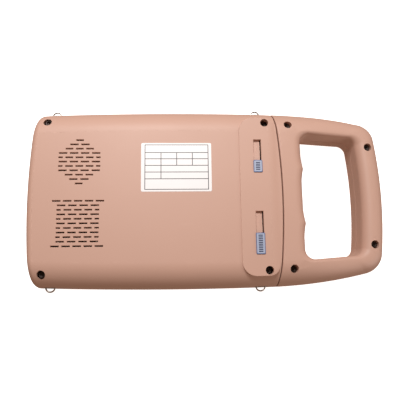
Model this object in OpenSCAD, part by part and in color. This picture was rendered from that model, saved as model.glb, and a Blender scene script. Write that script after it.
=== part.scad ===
// Handheld veterinary ultrasound scanner with a D-shaped carrying handle.
// It lies on its front face: +X is the handle end, +Y the upper long side, +Z the rear face.
// The origin is the middle of the footprint, on the surface that the front face rests on.

/* [Body] */
// Length from the free end to the joint with the handle, on the centre line
body_l = 216; // [206:1:235]
// Largest width over the two long sides
body_w = 157.2; // [154:0.2:164]
// Height from the front face to the rear face
body_h = 40; // [39:0.5:46]
// Height of the seam between the front housing and the rear covers
seam_z = 17; // [16.5:0.5:17.5]
// Radius of the long edges on the rear side
side_round = 22; // [18:0.5:22.5]
// Radius of the free end's edge on the rear side
end_round = 5; // [3:0.5:6]
// Radius of the free end's two corners in plan
corner_r = 5.5; // [4.5:0.5:12]
// Radius of the edge round the front face
front_round = 8; // [6:0.5:8]
// Wall of the three shells
wall = 2.2; // [1.8:0.1:2.4]
// Floor of the front housing
floor_t = 3; // [2.8:0.1:3.6]
// Plan radius of the bowed long sides
side_bow_r = 3070; // [2500:10:6000]
// Plan radius of the bowed free end
end_bow_r = 620; // [500:10:1200]
// Distance from the free end to the widest station
widest_from_end = 133.75; // [120:1:145]

/* [Handle] */
// Length from the joint to the far end, on the centre line
handle_l = 90.5; // [86:0.5:100]
// Height of the far bar of the handle
far_h = 36; // [34:0.5:38]
// Gap between the two rear covers
joint_gap = 0.8; // [0.5:0.1:1.2]
// Plan radius of the curved joint
joint_bow_r = 560; // [500:10:900]
// Distance before the joint where the sides start to draw in
taper_before = 7.75; // [2:0.25:12]
// Plan radius of the drawn-in sides
taper_r = 450; // [400:10:900]
// Plan radius of the far end
far_bow_r = 380; // [330:10:600]
// Radius of the far corners in plan
handle_corner_r = 18; // [16:0.5:20]
// Rear edge radius of the two long bars
bar_round = 14; // [11:0.5:14.5]
// Rear edge radius of the far bar, outside
far_round = 10; // [8:0.5:10.5]

/* [Hand opening] */
// Distance from the joint to the opening
grip_bar = 18.6; // [17:0.2:20]
// Width of the far bar
far_bar = 19.2; // [18.4:0.2:21]
// Distance from the widest part of a side to the opening, next to the body
long_bar = 23.1; // [22.6:0.1:25.6]
// How much narrower the opening is at the far bar
hand_draw = 8; // [7:0.5:13]
// Corner radius of the opening
hand_corner_r = 8; // [6:0.5:10]
// Rear edge radius on the palm side of the opening
palm_round = 7.5; // [5:0.5:8]
// Rear edge radius along the long bars, inside
bar_edge = 3.5; // [2.8:0.1:4]
// Rear edge radius of the far bar, inside
far_edge_r = 8; // [5:0.5:8]
// Front edge radius of the opening
hand_front_round = 6; // [4:0.5:6]
// Height of the two finger ridges
ridge_h = 1.9; // [1:0.1:3]
// Distance of the ridges from the centre line
ridge_y = 24; // [20:0.5:26]
// Half width of a ridge at its foot
ridge_half = 13; // [9:0.5:15]

/* [Pad] */
// Height of the pad above the rear face
pad_rise = 0.8; // [0.5:0.1:1.5]
// Length of the pad along the body
pad_l = 31.6; // [30:0.2:34]
// Distance from the widest part of a side to the pad
pad_from_side = 10.1; // [9:0.1:11.6]
// Distance from the joint to the pad
pad_from_joint = 5; // [4:0.25:7]
// Corner radius of the pad on the display side
pad_corner_r = 12; // [9:0.5:14]
// Corner radius of the pad on the handle side
pad_near_corner_r = 9; // [7:0.5:11]

/* [Slide controls] */
// Distance from the joint to the line of the slots
slider_from_joint = 20.85; // [20:0.05:21.5]
// Distance from the widest part of the upper side to the lower end of the upper slot
upper_slot_from_side = 59.2; // [57:0.2:62.6]
// Distance from the widest part of the lower side to the lower end of the lower slot
lower_slot_from_side = 28.2; // [26.6:0.2:32.6]
// Travel of both controls
slider_travel = 18.4; // [14:0.2:19]
// Width of the knobs
knob_w = 7.7; // [7.4:0.1:8.4]
// Length of the upper knob
upper_knob_l = 10.6; // [9:0.2:12]
// Length of the lower knob
lower_knob_l = 17.8; // [15:0.2:18.4]
// Width of the slots
slot_w = 6.5; // [6.2:0.1:6.8]
// Depth of a slot at its upper end
slot_deep = 1.6; // [1.2:0.1:1.8]
// Depth of a slot at its lower end
slot_shallow = 0.8; // [0.7:0.1:1]
// Height of a knob above the pad
knob_rise = 0.9; // [0.6:0.1:1.4]

/* [Grilles] */
// Distance from the free end to the middle of both grilles
grille_from_end = 43.25; // [40:0.5:48]
// Place of the speaker grille across the body
speaker_y = 29.2; // [27:0.2:33]
// Place of the fan grille across the body
fan_y = -23.4; // [-26:0.2:-21]
// Distance between two rows of slits
row_pitch = 3.78; // [3.6:0.02:3.9]
// Distance between two slits of a row with an even number of them
slit_pitch = 9.25; // [9:0.05:9.4]
// Distance between two slits of a row with an odd number of them
odd_slit_pitch = 8.6; // [8.4:0.05:8.8]
// Distance between two slits of a row of five whole ones
full_slit_pitch = 9; // [8.6:0.05:9.2]
// Length of a slit
slit_l = 6.9; // [6.4:0.1:7.2]
// Length of a slit of a row with an odd number of them
odd_slit_l = 6.3; // [6:0.1:6.6]
// Length of the short slits that end a row
short_slit_l = 3.6; // [3.2:0.1:3.8]
// Width of a slit
slit_w = 1.2; // [1:0.1:1.5]

/* [Rating label] */
// Length of the label
label_l = 60; // [50:1:66]
// Width of the label
label_w = 42.5; // [30:0.5:44]
// Distance from the free end to the label
label_from_end = 95.25; // [85:0.5:100]
// Place of the label's middle across the body
label_y = 24.25; // [20:0.25:30]
// Thickness of the label
label_t = 0.15; // [0.1:0.05:0.3]

/* [Strap loops] */
// Distance from the free end to the first pair of loops
loop_from_end = 18.5; // [17:0.5:24]
// Distance from the joint to the second pair of loops
loop_from_joint = 19; // [17:0.5:24]
// Height of the loops' hinge line
loop_z = 21.2; // [21:0.1:22]
// Radius of the loop's bow, at the middle of the wire
loop_r = 3.9; // [3.6:0.1:4.2]
// Radius of the bow's wire
wire_r = 0.65; // [0.55:0.05:0.75]
// Radius of the loop's straight bar
bar_r = 0.55; // [0.45:0.05:0.6]

/* [Cover screws] */
// Radius of the screws' thread
screw_r = 1.5; // [1.4:0.05:1.6]
// Radius of the screws' heads
head_r = 2.8; // [2.5:0.1:3]
// Height of the screws' heads
head_h = 2.2; // [1.8:0.1:2.6]
// Length of the body screws under the head
body_screw_l = 24; // [20:1:25]
// Length of the handle screws under the head
handle_screw_l = 22; // [18:1:23]
// Radius of the pockets
pocket_r = 3.5; // [3.3:0.1:3.7]
// Radius of the screw bosses
boss_r = 4.7; // [4.5:0.1:5.2]
// Distance from the free end to the first pair
screw_from_end = 14.5; // [14:0.25:16]
// Distance from the widest part of a side to the first pair
screw_end_from_side = 13.6; // [13.1:0.1:15.6]
// Distance from the joint to the second pair
screw_from_joint = 14; // [13:0.25:15]
// Distance from the widest part of a side to the second pair
screw_joint_from_side = 14.9; // [14.6:0.1:16.1]
// Distance from the joint to the near handle pair
near_from_joint = 7.3; // [7:0.1:8]
// Distance from the widest part of a side to the near handle pair
near_from_side = 15.85; // [14.6:0.05:17.6]
// Distance from the far end to the far handle pair
far_from_end = 12; // [10.5:0.25:12.5]
// Distance from the widest part of a side to the far handle pair
far_from_side = 35.6; // [33.6:0.1:42.6]

/* [Display] */
// Distance from the free end to the display module
lcd_from_end = 11; // [11:0.25:13]
// Distance from the display module to the joint
lcd_from_joint = 49; // [48:0.25:52]
// Distance from the widest part of a side to the display module
lcd_from_side = 19.6; // [19.6:0.1:24]
// Thickness of the display module
lcd_t = 6.5; // [6:0.1:7]
// Border of the display module beyond each end of the picture
lcd_end_border = 6.5; // [6:0.1:9]
// Border of the display module along each side of the picture
lcd_side_border = 5; // [5:0.1:8]
// Width of the ledge that the window is bonded to
ledge = 2.5; // [2:0.1:3]
// Thickness of the window
window_t = 1.4; // [1.2:0.1:1.5]
// Thickness of the display gasket
gasket_t = 0.8; // [0.6:0.1:1]
// Thickness of the display frame's sheet
frame_t = 1; // [0.8:0.1:1.2]

/* [Keys] */
// Distance from the joint to the middle of the keypad
keypad_from_joint = 25; // [24.5:0.1:25.5]
// Length of a key cap
key_l = 13; // [11:0.5:14]
// Width of a key cap
key_w = 11; // [9:0.5:12]
// Distance between the two columns
key_col = 17; // [16.5:0.1:17.4]
// Distance between two rows
key_row = 19; // [17:0.5:20]
// Number of rows
key_rows = 4; // [3:1:4]
// Place of the middle of the rows across the body
keys_y = -8; // [-10:0.5:-6]
// Place of the power key across the body
power_y = 42; // [41:0.5:44]
// Radius of the power key
power_r = 6.5; // [5:0.25:7]
// Travel of every key
key_travel = 1; // [0.6:0.1:1]
// Clearance round a key
key_gap = 0.2; // [0.15:0.05:0.3]

/* [Boards] */
// Distance that the main board stays back from each end of the display module
board_inset = 9; // [9:0.5:11]
// Distance from the widest part of a side to the main board
board_from_side = 9.1; // [8.6:0.1:9.6]
// Thickness of the boards
board_t = 1.6; // [1.2:0.1:1.8]
// Distance from the main board's ends to its fixings
fix_from_end = 5; // [5:0.5:7]
// Distance from the main board's sides to its fixings
fix_from_side = 3.5; // [3.2:0.1:4]
// Height of the lower spacers
low_spacer = 1.7; // [1.5:0.1:2]
// Height of the spacers under the battery tray
high_spacer = 3.6; // [3.2:0.1:4]

/* [Battery] */
// Gap between the fan and the battery tray
tray_fan_gap = 4.75; // [3:0.25:14]
// Distance from the tray's ends to the battery pack
battery_inset = 2.5; // [1.5:0.5:4]
// Distance from the battery pack to the tray's fixings
battery_fix_gap = 8; // [7.5:0.5:14]
// Thickness of the battery tray's sheet
tray_t = 1.2; // [1:0.1:1.4]
// Thickness of the foam strips over the battery
foam_t = 2.4; // [2:0.1:3]

/* [Fan and speaker] */
// Side of the fan
fan_l = 40; // [38:1:40]
// Height of the fan
fan_h = 10; // [9:0.5:10]
// Radius of the fan's bore
fan_bore_r = 18.8; // [17:0.1:18.8]
// Distance between the fan's screws
fan_fix = 32; // [31:0.5:32]
// Height of the bosses that carry the fan
fan_boss_h = 2.4; // [2:0.1:2.6]
// Radius of the loudspeaker
speaker_r = 18; // [16:0.5:18]

/* [Sockets] */
// Radius of the probe socket's bore
probe_bore_r = 6; // [5:0.25:6.2]
// Depth of the probe socket's bore
probe_depth = 8; // [6:0.5:9]
// Radius of the probe socket's body
probe_body_r = 7.4; // [7.2:0.1:7.5]
// Height of the probe socket's axis
probe_z = 26; // [25.6:0.1:26.3]

/* [Hidden] */
$fn = 48;

// Overrun of a cut past the face that it opens
over = 1;
// Clearance between fixed pieces that must not touch
clear = 0.3;

// Main stations along the object
overall_l = body_l + handle_l;
end_x = -overall_l / 2;
joint_x = end_x + body_l;
far_x = overall_l / 2;
widest_x = end_x + widest_from_end;
taper_x = joint_x - taper_before;
hand_x = joint_x + grip_bar;
hand_far_x = far_x - far_bar;
hand_l = hand_far_x - hand_x;
hand_slope = -hand_draw / 2 / hand_l;
ceiling_z = body_h - wall;
pad_z = body_h + pad_rise;

// Widths and cross distances that follow the long sides
pad_w = body_w - 2 * pad_from_side;
hand_w = body_w - 2 * long_bar;
hand_w_far = hand_w - hand_draw;
screw_end_y = body_w / 2 - screw_end_from_side;
screw_joint_y = body_w / 2 - screw_joint_from_side;
near_y = body_w / 2 - near_from_side;
far_y = body_w / 2 - far_from_side;
upper_slot_y = body_w / 2 - upper_slot_from_side;
lower_slot_y = lower_slot_from_side - body_w / 2;

// Edge radius of the covers along the joint
joint_round = 1;

// Share of each cut of a quarter round, and of the stretches of the outline
end_shares = [0, 0.22, 0.44, 0.64, 0.82];
side_shares = [0.08, 0.2, 0.34, 0.48, 0.62, 0.72, 0.8, 0.87, 0.94];
// Stretch of a long handle bar, from the joint outwards
bar_shares = [0.03, 0.08, 0.15, 0.24, 0.36, 0.5, 0.64, 0.78, 0.9];
top_shares = [0.15, 0.33, 0.5, 0.67, 0.85];
// Half width of the joint's edge that faces the palm wall, and then the opening's corner
joint_shares = [0, 0.07, 0.13, 0.18, 0.23, 0.27, 0.31, 0.35, 0.4, 0.47, 0.55, 0.63,
    0.71, 0.79, 0.87, 0.94];
palm_shares = [0, 0.13, 0.24, 0.33, 0.41, 0.47, 0.53, 0.6, 0.67, 0.76, 0.86, 0.95];
far_shares = [0.85, 0.68, 0.5, 0.32, 0.16, 0];

function bow(d, r) = d * d / (2 * r);
function drop(d, r) = d >= r ? 0 : r - sqrt(max(0, r * r - pow(r - max(0, d), 2)));
function mix(a, b, t) = a + (b - a) * t;
function ease(t) = let (u = min(1, max(0, t))) u * u * (3 - 2 * u);
function unit(a) = [cos(a), sin(a)];
function quarter(n) = [for (i = [0 : n]) 90 * i / n];
function reversed(v) = [for (i = [len(v) - 1 : -1 : 0]) v[i]];
function mirror_y(v) = [for (p = v) [p[0], -p[1]]];
// Lower half of a loop, from the far point of its upper half back to its first point
function lower_half(v) = mirror_y([for (i = [len(v) - 2 : -1 : 1]) v[i]]);

// Plan of the object: half width at a station, and the three cross edges
function half_w(x) = body_w / 2 - bow(x - widest_x, side_bow_r) - bow(max(0, x - taper_x), taper_r);
function slope_w(x) = -(x - widest_x) / side_bow_r - max(0, x - taper_x) / taper_r;
function end_edge(y) = end_x + bow(y, end_bow_r);
function joint_edge(y) = joint_x - bow(y, joint_bow_r);
function far_edge(y) = far_x - bow(y, far_bow_r);

// Round of radius r between a line through p with the outward direction a and one through q with b
function corner_centre(p, a, q, b, r) =
    let (s = p * unit(a) - r, t = q * unit(b) - r, d = sin(b - a))
    [(s * sin(b) - t * sin(a)) / d, (t * cos(a) - s * cos(b)) / d];
function corner_arc(p, a, q, b, r, n) =
    let (c = corner_centre(p, a, q, b, r)) [for (i = [0 : n]) c + r * unit(mix(a, b, i / n))];

// Places where the corner rounds take their directions
end_ref_y = half_w(end_x) - corner_r;
end_ref_a = 180 - atan(end_ref_y / end_bow_r);
side_ref_x = end_x + corner_r;
side_ref_a = 90 + atan(slope_w(side_ref_x));
bar_ref_x = far_x - handle_corner_r;
bar_ref_a = 90 + atan(slope_w(bar_ref_x));
far_ref_y = half_w(bar_ref_x) - handle_corner_r * 0.8;
far_ref_a = atan(far_ref_y / far_bow_r);

function end_corner(off) = corner_arc([end_edge(end_ref_y), end_ref_y] - off * unit(end_ref_a),
    end_ref_a, [side_ref_x, half_w(side_ref_x)] - off * unit(side_ref_a), side_ref_a,
    max(joint_round, corner_r - off), 6);
function far_corner(off) = corner_arc([bar_ref_x, half_w(bar_ref_x)] - off * unit(bar_ref_a),
    bar_ref_a, [far_edge(far_ref_y), far_ref_y] - off * unit(far_ref_a), far_ref_a,
    handle_corner_r - off, 6);

// Upper half of the whole outline, drawn in by off, clockwise from the free end
function outline_half(off) =
    let (first = end_corner(off), last = far_corner(off),
         x1 = first[6][0], x2 = last[0][0], y1 = first[0][1], y2 = last[6][1])
    concat([for (s = end_shares) [end_edge(y1 * s) + off, y1 * s]], first,
        [for (s = side_shares) let (x = mix(x1, x2, s)) [x, half_w(x) - off]], last,
        [for (s = far_shares) [far_edge(y2 * s) - off, y2 * s]]);
function outline(off) = let (half = outline_half(off)) concat(half, lower_half(half));

// Hand opening, grown by off: its palm side carries two finger ridges
function ridge(y) = let (d = abs(abs(y) - ridge_y) / ridge_half) d >= 1 ? 0 : ridge_h * pow(1 - d, 1.6);
function hand_half(x) = hand_w / 2 + hand_slope * (x - hand_x);
bar_in_a = 90 + atan(hand_slope);
hand_ref_y = hand_w / 2 - hand_corner_r;
hand_far_ref_y = hand_w_far / 2 - hand_corner_r;
hand_far_ref_a = atan(hand_far_ref_y / far_bow_r);
function hand_near_corner(off) = corner_arc([hand_x - off, hand_ref_y], 180,
    [hand_x, hand_half(hand_x)] + off * unit(bar_in_a), bar_in_a, hand_corner_r + off, 8);
function hand_far_corner(off) = corner_arc([hand_far_x, hand_half(hand_far_x)] + off * unit(bar_in_a),
    bar_in_a, [far_edge(hand_far_ref_y) - far_bar, hand_far_ref_y] + off * unit(hand_far_ref_a),
    hand_far_ref_a, hand_corner_r + off, 6);
function hand_half_loop(off) =
    let (first = hand_near_corner(off), last = hand_far_corner(off),
         y1 = first[0][1], x1 = first[8][0], x2 = last[0][0], y2 = last[6][1])
    concat([for (s = palm_shares) [hand_x + ridge(y1 * s) - off, y1 * s]], first,
        [for (s = top_shares) let (x = mix(x1, x2, s)) [x, hand_half(x) + off]], last,
        [for (s = far_shares) [far_edge(y2 * s) - far_bar + off, y2 * s]]);
function hand_loop(off) = let (half = hand_half_loop(off)) concat(half, lower_half(half));

// Outer loop of the handle cover, point for point with the hand opening
function cover_half_loop(off) =
    let (start = joint_x + joint_gap / 2 + off, y0 = half_w(joint_x) - off, last = far_corner(off),
         x1 = start - bow(y0, joint_bow_r), x2 = last[0][0], y2 = last[6][1])
    concat([for (s = joint_shares) [start - bow(y0 * s, joint_bow_r), y0 * s]],
        [[x1, half_w(x1) - off]],
        [for (s = bar_shares) let (x = mix(x1, x2, s)) [x, half_w(x) - off]], last,
        [for (s = far_shares) [far_edge(y2 * s) - off, y2 * s]]);
joint_points = len(joint_shares);
bar_points = joint_points + 1 + len(bar_shares);

// Rear surface of the handle before its inner edges are rounded
ramp_l = handle_l * 0.7;
function handle_top(x) = mix(body_h, far_h, ease((x - joint_x) / ramp_l));
function side_r(x) = mix(side_round, bar_round, ease((x - joint_x) / ramp_l));

// Radii of the rear edges along the handle's loop, for point i of its upper half
corner_points = len(palm_shares) + 9;
function inner_r(i) = i < len(palm_shares) ? palm_round
    : i < corner_points ? mix(palm_round, bar_edge, (i - len(palm_shares)) / 8)
    : i < bar_points ? bar_edge
    : mix(bar_edge, far_edge_r, min(1, (i - bar_points) / 6));
function outer_r(i, x) = i < bar_points ? side_r(x)
    : mix(side_r(x), far_round, min(1, (i - bar_points) / 6));

// One line of points from the outer loop to the opening
outer_cuts = 5;
inner_cuts = 4;
function cover_line(i, p, q, off) =
    let (way = q - p, span = norm(way), along = way / span,
         ro = outer_r(i, p[0]) - off, ri = max(joint_round, inner_r(i) - off),
         re = mix(joint_round, ro, min(1, max(0, (i - joint_points + 6) / 3))),
         tops = [for (a = quarter(outer_cuts))
             let (d = re * (1 - cos(a)), g = p + along * d, t = handle_top(g[0]) - off)
             [g[0], g[1], i < bar_points
                 ? t - drop(half_w(g[0]) - off - abs(g[1]), side_r(g[0]) - off)
                     - (i < joint_points ? drop(d, joint_round) : 0)
                 : t - ro * (1 - sin(a))]],
         ends = [for (a = quarter(inner_cuts))
             let (g = q - along * ri * (1 - cos(a)), t = handle_top(g[0]) - off)
             [g[0], g[1], t - ri * (1 - sin(a))
                 - (i < bar_points ? drop(half_w(g[0]) - off - abs(g[1]), side_r(g[0]) - off) : 0)]])
    concat(tops, reversed(ends));
function cover_net(off) =
    let (outer = cover_half_loop(off), inner = hand_half_loop(off), n = len(outer),
         half = [for (i = [0 : n - 1]) cover_line(i, outer[i], inner[i], off)])
    concat(half, [for (i = [n - 2 : -1 : 1]) [for (p = half[i]) [p[0], -p[1], p[2]]]]);

// Rear surface of the body: stations from the free end to the joint, lines round both long edges
side_cuts = 8;
end_cuts = 6;
mid_shares = [0.16, 0.34, 0.52, 0.7, 0.86];
flat_shares = [-0.66, -0.33, 0, 0.33, 0.66];
// Lines along the body: share of the flat width, reach into the long edge, and lift round it
body_lines = concat([for (a = quarter(side_cuts)) [-1, -cos(a), sin(a)]],
    [for (f = flat_shares) [f, 0, 1]], [for (a = reversed(quarter(side_cuts))) [1, cos(a), sin(a)]]);
function body_point(line, kind, v, off) =
    let (r = side_round - off, re = max(joint_round, end_round - off),
         rc = max(joint_round, corner_r - off),
         nominal = kind == 0 ? end_x + off + v : kind == 1 ? v : joint_x - off - v,
         w = half_w(nominal) - off - (kind == 0 ? drop(v, rc) : 0),
         y = line[0] * (w - r) + line[1] * r,
         x = kind == 0 ? end_edge(y) + off + v : kind == 1 ? v : joint_edge(y) - joint_gap / 2 - off - v,
         cut = kind == 0 ? drop(v, re) : kind == 2 ? drop(v, joint_round) : 0)
    [x, y, body_h - off - r + (r - cut) * line[2]];
function body_net(off) =
    let (rc = max(joint_round, corner_r - off),
         stations = concat([for (a = quarter(end_cuts)) [0, rc * (1 - cos(a))]],
             [for (s = mid_shares) [1, mix(end_x, joint_x, s)]],
             [for (a = reversed(quarter(2))) [2, joint_round * (1 - cos(a))]]))
    [for (st = stations) [for (line = body_lines) body_point(line, st[0], st[1], off)]];

// Faces between two neighbouring lines of points, as triangles
function strip(a, b, c, d) = [[a, b, c], [a, c, d]];

// Solid under a net of points, down to the level low
module field(net, low) {
    rows = len(net);
    cols = len(net[0]);
    rim = concat([for (j = [0 : cols - 1]) [0, j]], [for (i = [1 : rows - 1]) [i, cols - 1]],
        [for (j = [cols - 2 : -1 : 0]) [rows - 1, j]], [for (i = [rows - 2 : -1 : 1]) [i, 0]]);
    n = len(rim);
    base = rows * cols;
    function at(i, j) = i * cols + j;
    function rim_at(k) = let (q = rim[k % n]) at(q[0], q[1]);
    polyhedron(concat([for (row = net) each row],
            [for (q = rim) let (p = net[q[0]][q[1]]) [p[0], p[1], low]]),
        concat([for (i = [0 : rows - 2]) for (j = [0 : cols - 2])
                each strip(at(i, j), at(i, j + 1), at(i + 1, j + 1), at(i + 1, j))],
            [for (k = [0 : n - 1])
                each strip(rim_at(k + 1), rim_at(k), base + k, base + (k + 1) % n)],
            [[for (k = [n - 1 : -1 : 0]) base + k]]));
}

// Solid under a closed band of points, from its outer line to its inner one, down to the level low
module band(net, low) {
    n = len(net);
    cols = len(net[0]);
    base = n * cols;
    function at(i, j) = (i % n) * cols + j;
    function under(i, j) = base + (i % n) * 2 + j;
    polyhedron(concat([for (line = net) each line],
            [for (line = net) for (p = [line[0], line[cols - 1]]) [p[0], p[1], low]]),
        [for (i = [0 : n - 1]) each concat(
            [for (j = [0 : cols - 2]) each strip(at(i, j), at(i + 1, j), at(i + 1, j + 1), at(i, j + 1))],
            strip(at(i + 1, 0), at(i, 0), under(i, 0), under(i + 1, 0)),
            strip(at(i, cols - 1), at(i + 1, cols - 1), under(i + 1, 1), under(i, 1)),
            strip(under(i, 1), under(i + 1, 1), under(i + 1, 0), under(i, 0)))]);
}

// Solid through loops of points, each a level higher than the last, closed round a middle point
module stack(loops, levels) {
    n = len(loops[0]);
    m = len(loops);
    low = m * n;
    high = low + 1;
    function at(l, k) = l * n + k % n;
    function middle(l) = let (c = (loops[l][0] + loops[l][n / 2]) / 2) [c[0], c[1], levels[l]];
    polyhedron(concat([for (l = [0 : m - 1]) for (p = loops[l]) [p[0], p[1], levels[l]]],
            [middle(0), middle(m - 1)]),
        concat([for (l = [0 : m - 2]) for (k = [0 : n - 1])
                each strip(at(l + 1, k + 1), at(l + 1, k), at(l, k), at(l, k + 1))],
            [for (k = [0 : n - 1]) [high, at(m - 1, k), at(m - 1, k + 1)]],
            [for (k = [0 : n - 1]) [low, at(0, k + 1), at(0, k)]]));
}

// Children at a place and at its mirror image across the centre line
module both_sides(x, y) {
    for (s = [-1, 1]) translate([x, s * y, 0]) children();
}

// Places of the cover screws, and the levels that their heads sit on
screw_end_x = end_x + screw_from_end;
screw_joint_x = joint_x - screw_from_joint;
near_x = joint_x + near_from_joint;
far_screw_x = far_x - far_from_end;
pocket_depth = 8;
far_pocket_depth = 5.5;
body_seat_z = body_h - pocket_depth;
handle_seat_z = far_h - far_pocket_depth;
screw_clear = 0.2;
thread_clear = 0.05;

module body_screw_places() {
    both_sides(screw_end_x, screw_end_y) children();
    both_sides(screw_joint_x, screw_joint_y) children();
}

module handle_screw_places() {
    both_sides(near_x, near_y) children();
    both_sides(far_screw_x, far_y) children();
}

module all_bosses(r) {
    body_screw_places() cylinder(r = r, h = pad_z + over);
    handle_screw_places() cylinder(r = r, h = pad_z + over);
}

module screw_cut(seat) {
    translate([0, 0, seat]) cylinder(r = pocket_r, h = pad_z);
    translate([0, 0, seam_z - over]) cylinder(r = screw_r + screw_clear, h = seat);
}

module cap_screw(seat, l) {
    hex_r = head_r * 0.5;
    hex_depth = head_h * 0.55;
    difference() {
        union() {
            translate([0, 0, seat]) cylinder(r = head_r, h = head_h);
            translate([0, 0, seat - l]) cylinder(r = screw_r, h = l + head_h / 2);
        }
        translate([0, 0, seat + head_h - hex_depth]) cylinder(r = hex_r, h = head_h, $fn = 6);
    }
}

// Pad at the handle end of the body
pad_far_x = joint_x - pad_from_joint;
pad_x = pad_far_x - pad_l;
module pad_plan(off) {
    corners = [[pad_x + pad_corner_r, pad_corner_r], [pad_far_x - pad_near_corner_r, pad_near_corner_r]];
    half = pad_w / 2 - off;
    union() {
        for (s = [-1, 1]) {
            for (c = corners) translate([c[0], s * (pad_w / 2 - c[1])]) circle(r = c[1] - off);
            translate([corners[0][0], s > 0 ? 0 : -half])
                square([corners[1][0] - corners[0][0], half]);
        }
        translate([pad_x + off, -pad_w / 2 + pad_corner_r])
            square([pad_l / 2, pad_w - 2 * pad_corner_r]);
        translate([pad_far_x - off - pad_l / 2, -pad_w / 2 + pad_near_corner_r])
            square([pad_l / 2, pad_w - 2 * pad_near_corner_r]);
    }
}
pad_root = 6.2;

// Slots of the slide controls: the knob's body, its stem and the lever of the part below
slider_x = joint_x - slider_from_joint;
knob_body_w = slot_w - 0.4;
knob_gap = 0.15;
knob_end = 0.4;
stem_w = 0.8;
stem_l = 5;
stem_from_top = 1.2;
slit_clear = 0.1;
stem_x = slider_x + slot_w / 2 - stem_w / 2 - slit_clear;
pot_h = 6.5;
pot_w = 9;
pot_end = 5;
stem_reach = 4.3;
stem_tip_z = ceiling_z - stem_reach;
pot_channel_clear = 0.3;
function slot_l(knob_l) = knob_l + slider_travel;
function stem_y(y0, knob_l) = y0 + knob_l - stem_from_top - stem_l;

module slot_cut(y0, knob_l) {
    l = slot_l(knob_l);
    rise = slot_deep - slot_shallow;
    translate([slider_x - slot_w / 2, y0, pad_z])
        rotate([90, 0, 90]) linear_extrude(slot_w)
            polygon([[0, -slot_shallow], [l, -slot_shallow - rise], [l, over], [0, over]]);
    translate([stem_x - stem_w / 2 - slit_clear, stem_y(y0, knob_l) - clear, ceiling_z - over])
        cube([stem_w + 2 * slit_clear, stem_l + slider_travel + 2 * clear, pad_z]);
}

module knob(y0, knob_l) {
    flange_z = pad_z + knob_gap;
    flange_t = knob_rise - knob_gap;
    body_z = pad_z - slot_shallow + knob_gap;
    translate([slider_x - knob_w / 2, y0, flange_z]) cube([knob_w, knob_l, flange_t]);
    translate([slider_x - knob_body_w / 2, y0 + knob_end, body_z])
        cube([knob_body_w, knob_l - 2 * knob_end, flange_z - body_z + flange_t / 2]);
    translate([stem_x - stem_w / 2, stem_y(y0, knob_l), stem_tip_z])
        cube([stem_w, stem_l, flange_z - stem_tip_z]);
}

module slide_pot(y0, knob_l) {
    l = stem_l + slider_travel + 2 * pot_end;
    y = stem_y(y0, knob_l) - pot_end;
    difference() {
        translate([stem_x - pot_w / 2, y, ceiling_z - pot_h]) cube([pot_w, l, pot_h]);
        translate([stem_x - stem_w / 2 - pot_channel_clear, y + pot_end - clear,
            stem_tip_z - pot_channel_clear])
            cube([stem_w + 2 * pot_channel_clear, l - 2 * pot_end + 2 * clear, pot_h]);
    }
}

// Grilles: slits of each row, the round one as counts of whole slits
grille_x = end_x + grille_from_end;
round_counts = [1, 2, 3, 4, 5, 4, 5, 4, 3, 2, 1];
square_counts = [6, 4, 5, 4, 5, 4, 5, 4, 5, 4, 6];
short_slit_out = 0.3;

// A row of slits: 5 has a short slit at each end, 6 stands for five whole ones
module slit_row(count) {
    whole = count == 6 ? 5 : count == 5 ? 3 : count;
    pitch = count == 6 ? full_slit_pitch : count % 2 == 1 ? odd_slit_pitch : slit_pitch;
    l = count % 2 == 1 ? odd_slit_l : slit_l;
    outer_x = slit_pitch * 1.5 + slit_l / 2 - short_slit_l / 2 + short_slit_out;
    for (i = [0 : whole - 1])
        translate([(i - (whole - 1) / 2) * pitch - l / 2, -slit_w / 2, 0])
            cube([l, slit_w, wall + 2 * over]);
    if (count == 5) for (s = [-1, 1])
        translate([s * outer_x - short_slit_l / 2, -slit_w / 2, 0])
            cube([short_slit_l, slit_w, wall + 2 * over]);
}

module grille(y, counts) {
    n = len(counts);
    for (i = [0 : n - 1])
        translate([grille_x, y + ((n - 1) / 2 - i) * row_pitch, ceiling_z - over]) slit_row(counts[i]);
}

// Strap loops and the pockets that hold their lugs
loop_xs = [end_x + loop_from_end, joint_x - loop_from_joint];
hinge_depth = 1.1;
lug_l = 3;
lug_h = 4;
lug_depth = 3.4;
lug_nose = 1;
hinge_clear = 0.05;
loop_gap_l = 2 * (loop_r + wire_r + 0.5);
loop_pocket_h = 6.8;
block_l = loop_gap_l + 2 * wall;
block_depth = lug_depth + wall;
block_h = loop_pocket_h + wall;

module loop_places() {
    for (x = loop_xs) for (s = [-1, 1])
        translate([x, s * half_w(x), loop_z]) scale([1, s, 1]) children();
}

module strap_loop(i) {
    x = loop_xs[floor(i / 2)];
    s = i % 2 == 0 ? 1 : -1;
    translate([x, s * (half_w(x) - hinge_depth), loop_z]) rotate([0, 0, s > 0 ? 0 : 180]) {
        rotate_extrude(angle = 180) translate([loop_r, 0]) circle(r = wire_r);
        translate([-loop_r - wire_r / 2, 0, 0]) rotate([0, 90, 0])
            cylinder(r = bar_r, h = 2 * loop_r + wire_r);
    }
}

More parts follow.
